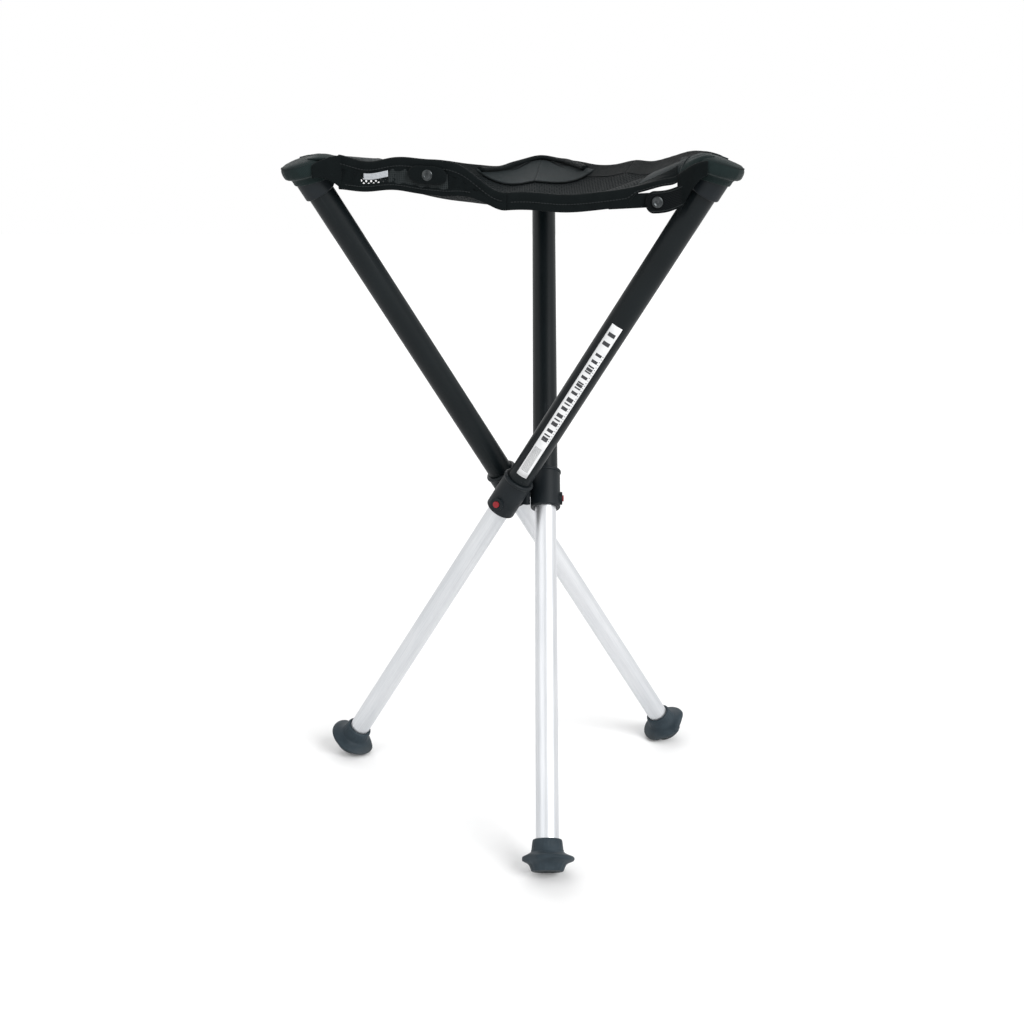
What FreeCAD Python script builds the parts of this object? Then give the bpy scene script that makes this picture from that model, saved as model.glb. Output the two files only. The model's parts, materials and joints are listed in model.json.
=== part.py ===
import FreeCAD, Part
import Sketcher
import math
import os
from FreeCAD import Placement, Rotation, Vector

# A folding three-legged stool with telescopic legs and a sling seat.
# Millimetres, +Z up. Each leg has a frame of its own: z runs up along the leg from the pivot,
# x points outwards from the hub along the pivot pin, and y completes the frame.

DRIVING_SIZES = {
    "leg_tilt": 33.9,
    "leg_offset": 24.0,
    "hub_height": 319.4,
    "first_leg_turn": -119.9,
    "upper_tube_radius": 12.5,
    "upper_tube_wall": 1.1,
    "upper_tube_low": 2.8,
    "upper_tube_high": 371.0,
    "lower_tube_radius": 10.8,
    "lower_tube_wall": 1.0,
    "tube_overlap": 60.0,
    "sleeve_radius": 15.0,
    "sleeve_up": 20.0,
    "sleeve_down": 20.0,
    "sleeve_lip": 4.0,
    "sleeve_round": 1.5,
    "tube_fit": 0.05,
    "bush_bore_fit": 0.1,
    "top_bush_length": 14.0,
    "top_bush_cap": 2.0,
    "button_drop": 9.5,
    "boss_radius": 6.6,
    "boss_reach": 17.0,
    "button_radius": 3.2,
    "button_flange_radius": 4.4,
    "button_flange": 1.2,
    "button_reach": 18.4,
    "button_seat": 13.7,
    "button_gap": 0.2,
    "snap_pin_radius": 2.8,
    "snap_pin_gap": 0.05,
    "spring_thick": 0.8,
    "spring_width": 7.0,
    "spring_length": 34.0,
    "neck_radius": 3.5,
    "head_radius": 5.5,
    "head_inner": 3.75,
    "head_outer": 5.6,
    "pivot_gap": 0.12,
    "hub_inradius": 8.6,
    "hub_half": 13.0,
    "hub_round": 3.0,
    "screw_radius": 1.5,
    "screw_head_radius": 3.2,
    "screw_head": 2.4,
    "nut_radius": 3.18,
    "nut_thick": 2.4,
    "screw_gap": 0.1,
    "cap_radius": 15.0,
    "cap_skirt": 17.5,
    "cap_top": 4.0,
    "hood_radius": 24.0,
    "hood_height": 15.0,
    "hood_cover": 8.7,
    "hood_round": 6.0,
    "hood_gap": 0.3,
    "flat_reach": 20.45,
    "foot_sole_radius": 14.8,
    "foot_flange_radius": 25.0,
    "foot_flange_low": 8.7,
    "foot_flange_high": 16.4,
    "foot_collar_low": 14.4,
    "foot_collar_high": 13.0,
    "foot_height": 33.0,
    "foot_floor": 6.6,
    "foot_round": 3.2,
    "foot_contact": 0.7,
    "plug_length": 18.0,
    "label_low": 30.0,
    "label_length": 182.0,
    "label_width": 11.2,
    "label_thick": 0.2,
    "label_glue": 0.05,
    "label_turn": -7.0,
    "seat_thick": 1.6,
    "seat_corner_gap": 0.3,
    "seat_corner_low": 8.0,
    "seat_corner_half": 20.0,
    "seat_edge_reach": 122.0,
    "seat_centre_height": 602.0,
    "front_edge_height": 607.0,
    "right_edge_height": 638.0,
    "left_edge_height": 641.0,
    "front_left_bend": 6.0,
    "front_right_bend": 0.5,
    "band_thick": 2.6,
    "band_height": 10.0,
    "band_corner_height": 28.0,
    "front_gap_end": 0.32,
    "strap_start": 0.05,
    "strap_end": 0.38,
    "strap_drop": 6.5,
    "strap_width": 15.0,
    "strap_thick": 1.8,
    "tab_start": 0.44,
    "tab_end": 0.64,
    "tab_width": 17.0,
    "tag_start": 0.21,
    "tag_end": 0.35,
    "tag_width": 6.0,
    "tag_drop": 9.5,
    "tag_thick": 0.5,
    "stud_radius": 5.2,
    "stud_height": 2.4,
    "stud_place": 0.6,
    "seat_steps": 8.0,
}

doc = FreeCAD.newDocument("stool")
sheet = doc.addObject("Spreadsheet::Sheet", "Sizes")
for row, (alias, number) in enumerate(DRIVING_SIZES.items(), start=1):
    cell = "A" + str(row)
    sheet.set(cell, str(number))
    sheet.setAlias(cell, alias)
doc.recompute()


class Dim:
    """A size with the expression that binds it to the sheet and its present value."""

    def __init__(self, text, value):
        self.text = text
        self.value = value

    def _join(self, other, sign, value):
        other_text = other.text if isinstance(other, Dim) else str(other)
        return Dim("(" + self.text + " " + sign + " " + other_text + ")", value)

    def __add__(self, other):
        return self._join(other, "+", self.value + number_of(other))

    def __sub__(self, other):
        return self._join(other, "-", self.value - number_of(other))

    def __mul__(self, other):
        return self._join(other, "*", self.value * number_of(other))

    def __truediv__(self, other):
        return self._join(other, "/", self.value / number_of(other))


def number_of(size):
    return size.value if isinstance(size, Dim) else float(size)


def dim(alias):
    return Dim("Sizes." + alias, float(sheet.get(alias)))


ZERO = Dim("0", 0.0)
LEGS = ("a", "b", "c")
FLAT_TURN = 30.0
THIRD_TURN = 120.0
sub_parts = {}


def keep(node, obj, placement=None):
    """Names a finished sub-part, places it and lists it for the export."""
    obj.Label = node
    if placement is not None:
        obj.Placement = placement
    sub_parts[node] = obj
    return obj


def leg_placement(index):
    """The leg's own frame: turned about the stool's axis, then leaned by the leg's tilt."""
    turn = dim("first_leg_turn").value + THIRD_TURN * index
    offset = dim("leg_offset").value
    away = Vector(offset * math.cos(math.radians(turn)), offset * math.sin(math.radians(turn)),
                  dim("hub_height").value)
    turned = Rotation(Vector(0, 0, 1), turn)
    leaned = Rotation(Vector(1, 0, 0), -dim("leg_tilt").value)
    return Placement(away, turned.multiply(leaned))


def turned_body(name, outline):
    """A body of revolution about z. The outline is a closed list of (radius, height) sizes, all >= 0."""
    body = doc.addObject("PartDesign::Body", name)
    sketch = body.newObject("Sketcher::SketchObject", name + "_profile")
    plane = [item for item in body.Origin.OriginFeatures if item.Role == "XZ_Plane"][0]
    sketch.AttachmentSupport = [(plane, "")]
    sketch.MapMode = "FlatFace"
    corners = [Vector(radius.value, height.value, 0) for radius, height in outline]
    for start, end in zip(corners, corners[1:] + corners[:1]):
        sketch.addGeometry(Part.LineSegment(start, end), False)
    count = len(corners)
    for i in range(count):
        sketch.addConstraint(Sketcher.Constraint("Coincident", i, 2, (i + 1) % count, 1))
    for i, (radius, height) in enumerate(outline):
        for size, kind, axis in ((radius, "DistanceX", -2), (height, "DistanceY", -1)):
            if size.value == 0.0:
                sketch.addConstraint(Sketcher.Constraint("PointOnObject", i, 1, axis))
                continue
            mark = sketch.addConstraint(Sketcher.Constraint(kind, -1, 1, i, 1, size.value))
            sketch.setExpression("Constraints[" + str(mark) + "]", size.text)
    turned = body.newObject("PartDesign::Revolution", name + "_turned")
    turned.Profile = sketch
    turned.ReferenceAxis = (sketch, ["V_Axis"])
    turned.Angle = 360.0
    doc.recompute()
    return body


def round_edges(body, radius, circles):
    """Rounds the circular edges of a turned body that lie at the listed (radius, height) sizes."""
    tip = body.Tip
    names = []
    for index, edge in enumerate(tip.Shape.Edges, start=1):
        if not isinstance(edge.Curve, Part.Circle):
            continue
        for ring, height in circles:
            near_ring = abs(edge.Curve.Radius - ring.value) < 1e-4
            if near_ring and abs(edge.Curve.Center.z - height.value) < 1e-4:
                names.append("Edge" + str(index))
    fillet = body.newObject("PartDesign::Fillet", body.Name + "_round")
    fillet.Base = (tip, names)
    fillet.setExpression("Radius", radius.text)
    doc.recompute()
    return body


def rod(name, radius, start, end, lift=ZERO):
    """A cylinder along x from start to end, at the height lift."""
    cylinder = doc.addObject("Part::Cylinder", name)
    cylinder.setExpression("Radius", radius.text)
    cylinder.setExpression("Height", (end - start).text)
    cylinder.Placement = Placement(Vector(start.value, 0, lift.value), Rotation(Vector(0, 1, 0), 90))
    cylinder.setExpression("Placement.Base.x", start.text)
    cylinder.setExpression("Placement.Base.z", lift.text)
    return cylinder


def block(name, corner, extent, rotation=None):
    """A box from its low corner and its extent, all bound to the sheet."""
    box = doc.addObject("Part::Box", name)
    for side, size in zip(("Length", "Width", "Height"), extent):
        box.setExpression(side, size.text)
    box.Placement = Placement(Vector(*[size.value for size in corner]), rotation or Rotation())
    for axis, size in zip("xyz", corner):
        box.setExpression("Placement.Base." + axis, size.text)
    return box


def cut(name, base, tool):
    result = doc.addObject("Part::Cut", name)
    result.Base = base
    result.Tool = tool
    return result


def fuse(name, *pieces):
    result = doc.addObject("Part::MultiFuse", name)
    result.Shapes = list(pieces)
    return result


def local_body(name, body, height):
    """Stands a turned body at its height on the leg, ready for cuts."""
    body.setExpression("Placement.Base.z", height.text)
    return body


def minus(size):
    return ZERO - size


def inward_flats(name, piece, turn, low, high):
    """Cuts the two flats that let neighbouring legs lie side by side when they are folded."""
    for mark, side in (("left", -FLAT_TURN), ("right", FLAT_TURN)):
        direction = turn + side
        reach = dim("flat_reach")
        box = doc.addObject("Part::Box", name + "_flat_" + mark)
        box.setExpression("Length", dim("hood_radius").text)
        box.setExpression("Width", (dim("hood_radius") * 4).text)
        box.setExpression("Height", (high - low).text)
        angle = math.radians(direction)
        half_width = dim("hood_radius").value * 2
        base = Vector(reach.value * math.cos(angle) + half_width * math.sin(angle),
                      reach.value * math.sin(angle) - half_width * math.cos(angle), low.value)
        box.Placement = Placement(base, Rotation(Vector(0, 0, 1), direction))
        piece = cut(name + "_cut_" + mark, piece, box)
    return piece


def upper_tube(leg, place):
    outer = dim("upper_tube_radius")
    bore = outer - dim("upper_tube_wall")
    length = dim("upper_tube_high") + dim("upper_tube_low")
    tube = turned_body("upper_tube_" + leg, [(bore, ZERO), (outer, ZERO), (outer, length), (bore, length)])
    keep("upper_tube_" + leg, tube, place.multiply(Placement(Vector(0, 0, -dim("upper_tube_low").value),
                                                              Rotation())))


def joint_sleeve(leg, place):
    """The sleeve that holds the tube's end, with its pivot trunnion inside and its button boss outside."""
    outer = dim("sleeve_radius")
    down = dim("sleeve_down")
    height = down + dim("sleeve_up")
    bore = dim("upper_tube_radius") + dim("tube_fit")
    lip_bore = dim("lower_tube_radius") + dim("tube_fit") * 8
    shell = turned_body("sleeve_shell_" + leg, [
        (lip_bore, ZERO), (outer, ZERO), (outer, height), (bore, height),
        (bore, dim("sleeve_lip")), (lip_bore, dim("sleeve_lip"))])
    round_edges(shell, dim("sleeve_round"), [(outer, ZERO), (outer, height)])
    local_body("sleeve", shell, minus(down))
    drop = minus(dim("button_drop"))
    boss = rod("boss_" + leg, dim("boss_radius"), dim("upper_tube_radius"), dim("boss_reach"), drop)
    neck_start = dim("head_outer") - dim("leg_offset")
    head_start = dim("head_inner") - dim("leg_offset")
    neck = rod("neck_" + leg, dim("neck_radius"), neck_start, minus(bore + 1))
    head = rod("head_" + leg, dim("head_radius"), head_start, neck_start)
    solid = fuse("sleeve_blank_" + leg, shell, boss, neck, head)
    gap = dim("button_gap")
    stem_hole = rod("stem_hole_" + leg, dim("button_radius") + gap, dim("lower_tube_radius"),
                    dim("button_reach"), drop)
    pocket = rod("pocket_" + leg, dim("button_flange_radius") + gap, dim("lower_tube_radius"),
                 dim("button_seat") + dim("button_flange") + gap, drop)
    # the boss's root is cleared from the bore, where the tube and its guide bush sit
    bore_cut = doc.addObject("Part::Cylinder", "bore_cut_" + leg)
    bore_cut.setExpression("Radius", bore.text)
    bore_cut.setExpression("Height", (height - dim("sleeve_lip")).text)
    bore_cut.setExpression("Placement.Base.z", (dim("sleeve_lip") - down).text)
    holes = fuse("sleeve_holes_" + leg, stem_hole, pocket, bore_cut)
    keep("joint_sleeve_" + leg, cut("joint_sleeve_" + leg, solid, holes), place)


def guide_bush(leg, place):
    """The plastic bush in the sleeve that the lower tube runs in, with a hole for the snap pin."""
    outer = dim("upper_tube_radius")
    bore = dim("lower_tube_radius") + dim("bush_bore_fit")
    height = dim("sleeve_down") - dim("sleeve_lip") - dim("upper_tube_low")
    ring = turned_body("bush_ring_" + leg, [(bore, ZERO), (outer, ZERO), (outer, height), (bore, height)])
    local_body("bush", ring, dim("sleeve_lip") - dim("sleeve_down"))
    hole = rod("bush_hole_" + leg, dim("button_flange_radius") + dim("button_gap"),
               dim("snap_pin_radius"), dim("sleeve_radius"), minus(dim("button_drop")))
    keep("guide_bush_" + leg, cut("guide_bush_" + leg, ring, hole), place)


def end_cap(leg, place):
    """The plastic cap pushed over the upper tube's end, which the seat's corner hood turns on."""
    outer = dim("cap_radius")
    bore = dim("upper_tube_radius") + dim("tube_fit")
    skirt = dim("cap_skirt")
    height = skirt + dim("cap_top")
    cap = turned_body("end_cap_" + leg, [(ZERO, height), (ZERO, skirt), (bore, skirt), (bore, ZERO),
                                         (outer, ZERO), (outer, height)])
    round_edges(cap, dim("sleeve_round"), [(outer, ZERO)])
    keep("end_cap_" + leg, cap, place.multiply(Placement(
        Vector(0, 0, dim("upper_tube_high").value - skirt.value), Rotation())))


def lower_tube(leg, place):
    outer = dim("lower_tube_radius")
    bore = outer - dim("lower_tube_wall")
    bottom = lower_tube_bottom()
    length = bottom + dim("tube_overlap")
    tube = turned_body("lower_tube_blank_" + leg, [
        (bore, ZERO), (outer, ZERO), (outer, length), (bore, length)])
    local_body("tube", tube, minus(bottom))
    hole = rod("snap_hole_" + leg, dim("snap_pin_radius") + dim("button_gap"), dim("snap_pin_radius"),
               dim("sleeve_radius"), minus(dim("button_drop")))
    keep("lower_tube_" + leg, cut("lower_tube_" + leg, tube, hole), place)


def sole_depth():
    """How far below the pivot, along the leg, the sole's middle lies: its low edge dips just under the floor."""
    tilt = math.radians(dim("leg_tilt").value)
    rise = dim("hub_height").value - dim("foot_sole_radius").value * math.sin(tilt)
    rise += dim("foot_contact").value
    text = ("((Sizes.hub_height - Sizes.foot_sole_radius * sin(Sizes.leg_tilt * 1deg)"
            " + Sizes.foot_contact) / cos(Sizes.leg_tilt * 1deg))")
    return Dim(text, rise / math.cos(tilt))


def lower_tube_bottom():
    return sole_depth() - dim("foot_floor")


def top_bush(leg, place):
    """The bush on the lower tube's top end, which slides in the upper tube."""
    bore = dim("lower_tube_radius")
    outer = dim("upper_tube_radius") - dim("upper_tube_wall") - dim("tube_fit")
    inner = bore - dim("lower_tube_wall")
    length = dim("top_bush_length")
    height = length + dim("top_bush_cap")
    bush = turned_body("top_bush_" + leg, [
        (bore, ZERO), (outer, ZERO), (outer, height), (inner, height), (inner, length), (bore, length)])
    keep("top_bush_" + leg, bush, place.multiply(Placement(
        Vector(0, 0, dim("tube_overlap").value - length.value), Rotation())))


def snap_clip(leg, place):
    """The spring clip inside the lower tube: a folded leaf with the snap pin at one end."""
    drop = minus(dim("button_drop"))
    thick = dim("spring_thick")
    width = dim("spring_width")
    reach = dim("lower_tube_radius") - dim("lower_tube_wall") * 2 - thick
    pin = rod("snap_pin_" + leg, dim("snap_pin_radius"), reach, dim("button_seat") - dim("snap_pin_gap"), drop)
    low = drop - width / 2
    front = block("leaf_front_" + leg, (reach, minus(width / 2), low), (thick, width, dim("spring_length")))
    back = block("leaf_back_" + leg, (minus(reach + thick), minus(width / 2), low),
                 (thick, width, dim("spring_length")))
    bend_outer = rod("bend_outer_" + leg, reach + thick, minus(width / 2), width / 2)
    bend_inner = rod("bend_inner_" + leg, reach, minus(width), width)
    bend = cut("bend_" + leg, bend_outer, bend_inner)
    half = block("bend_half_" + leg, (minus(width), minus(width * 3), ZERO), (width * 2, width * 6, width * 3))
    arch = doc.addObject("Part::Common", "arch_" + leg)
    arch.Base = bend
    arch.Tool = half
    top = low + dim("spring_length")
    arch.Placement = Placement(Vector(0, 0, top.value), Rotation(Vector(0, 0, 1), 90))
    arch.setExpression("Placement.Base.z", top.text)
    keep("snap_clip_" + leg, fuse("snap_clip_" + leg, pin, front, back, arch), place)


def release_button(leg, place):
    """The red button in the sleeve's boss, which pushes the snap pin in."""
    drop = minus(dim("button_drop"))
    seat = dim("button_seat")
    flange_end = seat + dim("button_flange")
    flange = rod("button_flange_" + leg, dim("button_flange_radius"), seat, flange_end, drop)
    stem = rod("button_stem_" + leg, dim("button_radius"), flange_end, dim("button_reach"), drop)
    keep("release_button_" + leg, fuse("release_button_" + leg, flange, stem), place)


def foot(leg, place):
    """The rubber foot: a collar round the tube, a wide flange and a sole that meets the floor on its edge."""
    bore = dim("lower_tube_radius")
    sole = dim("foot_sole_radius")
    wide = dim("foot_flange_radius")
    low = dim("foot_flange_low")
    high = dim("foot_flange_high")
    height = dim("foot_height")
    rubber = turned_body("foot_blank_" + leg, [
        (ZERO, ZERO), (sole, ZERO), (sole, low), (wide, low), (wide, high), (dim("foot_collar_low"), high),
        (dim("foot_collar_high"), height), (bore, height), (bore, dim("foot_floor")),
        (ZERO, dim("foot_floor"))])
    round_edges(rubber, dim("foot_round"), [(wide, low), (wide, high)])
    depth = sole_depth()
    local_body("foot", rubber, minus(depth))
    shaped = inward_flats("foot_" + leg, rubber, 180.0, minus(depth), minus(depth) + height)
    floor = doc.addObject("Part::Box", "floor_" + leg)
    floor.setExpression("Length", (dim("foot_flange_radius") * 8).text)
    floor.setExpression("Width", (dim("foot_flange_radius") * 8).text)
    floor.setExpression("Height", dim("foot_flange_radius").text)
    side = dim("foot_flange_radius").value * 4
    middle = place.multVec(Vector(0, 0, -depth.value))
    below = Placement(Vector(middle.x - side, middle.y - side, -dim("foot_flange_radius").value), Rotation())
    floor.Placement = place.inverse().multiply(below)
    keep("foot_" + leg, cut("foot_" + leg, shaped, floor), place)


def foot_plug(leg, place):
    """The stiff plug inside the lower tube's end, which the foot is moulded round."""
    outer = dim("lower_tube_radius") - dim("lower_tube_wall")
    length = dim("plug_length")
    hollow = outer / 2
    plug = turned_body("foot_plug_" + leg, [
        (ZERO, ZERO), (outer, ZERO), (outer, length), (hollow, length), (hollow, length / 3),
        (ZERO, length / 3)])
    keep("foot_plug_" + leg, plug, place.multiply(Placement(
        Vector(0, 0, -lower_tube_bottom().value), Rotation())))


def hood_bottom():
    return dim("upper_tube_high") + dim("cap_top") + dim("hood_gap") - dim("hood_cover")


def hood_turn():
    """The direction, in the leg's frame, from the leg's top towards the middle of the seat."""
    height = hood_bottom().value + dim("hood_height").value - dim("seat_corner_low").value
    along = height * math.sin(math.radians(dim("leg_tilt").value))
    return 270.0 - math.degrees(math.atan2(dim("leg_offset").value, along))


def corner_reach():
    """How far the seat's corner stands from the leg's axis: past the edge where the hood's two flats meet.

    The hood leans with the leg, so the seat's underside needs a little more room than its top.
    """
    ridge = dim("flat_reach").value / math.cos(math.radians(FLAT_TURN))
    lean = dim("seat_thick").value * math.sin(math.radians(dim("leg_tilt").value))
    return ridge + lean + dim("seat_corner_gap").value


def corner_hood(leg, place):
    """The seat's corner pocket, a stiff round hood over the end cap."""
    outer = dim("hood_radius")
    bore = dim("cap_radius") + dim("hood_gap")
    cover = dim("hood_cover")
    height = dim("hood_height")
    hood = turned_body("hood_blank_" + leg, [
        (ZERO, height), (ZERO, cover), (bore, cover), (bore, ZERO), (outer, ZERO), (outer, height)])
    round_edges(hood, dim("hood_round"), [(outer, ZERO), (outer, height)])
    bottom = hood_bottom()
    local_body("hood", hood, bottom)
    shaped = inward_flats("hood_" + leg, hood, hood_turn(), bottom, bottom + height)
    keep("corner_hood_" + leg, shaped, place)


def label_strip(place):
    """A blank printed strip along the upper tube of the first leg."""
    outer = doc.addObject("Part::Cylinder", "label_outer")
    glued = dim("upper_tube_radius") + dim("label_glue")
    outer.setExpression("Radius", (glued + dim("label_thick")).text)
    outer.setExpression("Height", dim("label_length").text)
    outer.setExpression("Angle", (dim("label_width") / dim("upper_tube_radius") * 57.2958).text)
    inner = doc.addObject("Part::Cylinder", "label_inner")
    inner.setExpression("Radius", glued.text)
    inner.setExpression("Height", dim("label_length").text)
    strip = cut("label_strip", outer, inner)
    local = Placement(Vector(0, 0, dim("label_low").value),
                      Rotation(Vector(0, 0, 1), dim("label_turn").value))
    keep("label_strip", strip, place.multiply(local))


def seat_frame(index):
    """The seat corner's place and its directions in plan: towards the middle, and to its left."""
    place = leg_placement(index)
    turn = math.radians(hood_turn())
    reach = corner_reach()
    height = hood_bottom().value + dim("hood_height").value - dim("seat_corner_low").value
    corner = place.multVec(Vector(reach * math.cos(turn), reach * math.sin(turn), height))
    inward = Vector(-corner.x, -corner.y, 0).normalize()
    left = Vector(-inward.y, inward.x, 0)
    return corner, inward, left


def edge_height(index, side):
    """The height of the seat's edge at its middle: the front edge sags, the two rear edges are nearly taut."""
    edges = {(0, 1): "front", (2, -1): "front", (0, -1): "right", (1, 1): "right", (1, -1): "left", (2, 1): "left"}
    return dim(edges[(index, side)] + "_edge_height").value


def edge_bend(index, side):
    """The power of the sine that an edge falls by: over 1 stays high at the corner, under 1 drops at once."""
    edges = {(2, -1): "front_left_bend", (0, 1): "front_right_bend"}
    return dim(edges[(index, side)]).value if (index, side) in edges else 1.0


def seat_point(index, side, along, across):
    """A point of the sagging seat: along runs from a corner to the middle, across from the seam to the edge.

    The height falls from the corner as a quarter of a sine wave, raised to the edge's power, so that
    it is level where the panels meet, and it rises from the middle of the seat to the middle of an
    edge as a parabola.
    """
    corner, inward, left = seat_frame(index)
    start = corner + left * (side * across * dim("seat_corner_half").value)
    edge_turn = math.atan2(-inward.y, -inward.x) - side * math.pi / 3
    edge_reach = dim("seat_edge_reach").value * across
    end = Vector(edge_reach * math.cos(edge_turn), edge_reach * math.sin(edge_turn), 0)
    middle_height = dim("seat_centre_height").value
    rise = (edge_height(index, side) - middle_height) * across ** 2
    power = 1.0 + (edge_bend(index, side) - 1.0) * across ** 2
    drop = math.sin(along * math.pi / 2) ** power
    height = corner.z + (middle_height + rise - corner.z) * drop
    return Vector(start.x + (end.x - start.x) * along, start.y + (end.y - start.y) * along, height)


def sheet_solid(node, top, low):
    """A thin closed solid of flat facets between two grids of points of the same size."""
    steps = len(top) - 1
    across_steps = len(top[0]) - 1
    faces = []

    def facet(*points):
        faces.append(Part.Face(Part.makePolygon(list(points) + [points[0]])))

    def quad(first, second, third, fourth):
        facet(first, second, third)
        facet(first, third, fourth)

    for i in range(steps):
        for j in range(across_steps):
            for layer in (top, low):
                quad(layer[i][j], layer[i + 1][j], layer[i + 1][j + 1], layer[i][j + 1])
    for i in range(steps):
        for j in (0, across_steps):
            quad(top[i][j], top[i + 1][j], low[i + 1][j], low[i][j])
    for j in range(across_steps):
        for i in (0, steps):
            quad(top[i][j], top[i][j + 1], low[i][j + 1], low[i][j])
    solid = Part.Solid(Part.Shell(faces))
    solid.fix(1e-5, 1e-5, 1e-5)
    if solid.Volume < 0:
        solid.reverse()
    piece = doc.addObject("Part::Feature", node)
    piece.Shape = solid
    keep(node, piece, Placement())


def seat_panel(leg, index, mark, side):
    """One of the six parts that the sling seat folds into."""
    steps = int(dim("seat_steps").value)
    across_steps = steps // 2
    thick = Vector(0, 0, -dim("seat_thick").value)
    top = [[seat_point(index, side, i / steps, j / across_steps) for j in range(across_steps + 1)]
           for i in range(steps + 1)]
    low = [[point + thick for point in row] for row in top]
    sheet_solid("seat_panel_" + leg + "_" + mark, top, low)


def edge_normal(index, side, along):
    """The outward direction of a seat edge in plan, lengthened at its middle so that two halves meet there."""
    start = seat_point(index, side, 0.0, 1.0)
    end = seat_point(index, side, 1.0, 1.0)
    run = Vector(end.x - start.x, end.y - start.y, 0).normalize()
    normal = Vector(run.y, -run.x, 0)
    away = Vector(end.x, end.y, 0).normalize()
    if normal.dot(away) < 0:
        normal = -normal
    return away / normal.dot(away) if along == 1.0 else normal


def edge_strip(node, index, side, stretch, inner, thick, rise, height, steps):
    """A thin upright strip along a seat edge, from inner to inner + thick outwards and rise to rise - height.

    The height is a number, or a function of the place along the edge.
    """
    first, last = stretch
    near = []
    far = []
    for i in range(steps + 1):
        along = first + (last - first) * i / steps
        edge = seat_point(index, side, along, 1.0)
        out = edge_normal(index, side, along)
        top = Vector(0, 0, rise)
        low = Vector(0, 0, rise - (height(along) if callable(height) else height))
        near.append([edge + out * inner + top, edge + out * inner + low])
        far.append([edge + out * (inner + thick) + top, edge + out * (inner + thick) + low])
    sheet_solid(node, far, near)


def band_height(index, side, along):
    """The band is deep at the left end of the front edge and narrows to the middle, by the cube of a sine."""
    height = dim("band_height").value
    if (index, side) != (2, -1):
        return height
    extra = dim("band_corner_height").value - height
    return height + extra * (1.0 - math.sin(along * math.pi / 2) ** 3)


def edge_band(leg, index, mark, side):
    """The bound edge of the seat, hanging from the panel's outer edge. The strap bridges its gap at the front."""
    start = dim("front_gap_end").value if (index, side) == (0, 1) else 0.0
    edge_strip("edge_band_" + leg + "_" + mark, index, side, (start, 1.0), 0.0, dim("band_thick").value,
               0.0, lambda along: band_height(index, side, along), int(dim("seat_steps").value))


def stud(node, index, side, along, inner, drop):
    """A round press stud that stands out of a strip on a seat edge."""
    out = edge_normal(index, side, along)
    base = seat_point(index, side, along, 1.0) + out * inner - Vector(0, 0, drop)
    cylinder = doc.addObject("Part::Cylinder", node)
    cylinder.setExpression("Radius", dim("stud_radius").text)
    cylinder.setExpression("Height", dim("stud_height").text)
    keep(node, cylinder, Placement(base, Rotation(Vector(0, 0, 1), out)))


def closure():
    """The strap from the right front corner, the tab it presses onto, their studs and the blank sewn tag."""
    band = dim("band_thick").value
    thick = dim("strap_thick").value
    width = dim("strap_width").value
    start, end = dim("strap_start").value, dim("strap_end").value
    drop = dim("strap_drop").value
    edge_strip("closure_strap", 0, 1, (start, end), band, thick, -drop, width, 4)
    stud("strap_stud", 0, 1, start + (end - start) * dim("stud_place").value, band + thick,
         drop + width / 2)
    start, end = dim("tab_start").value, dim("tab_end").value
    width = dim("tab_width").value
    edge_strip("stud_tab", 2, -1, (start, end), band, thick, 0.0, width, 2)
    stud("tab_stud", 2, -1, (start + end) / 2, band + thick, width / 2)
    edge_strip("sewn_tag", 2, -1, (dim("tag_start").value, dim("tag_end").value), band,
               dim("tag_thick").value, -dim("tag_drop").value, dim("tag_width").value, 1)


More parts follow.
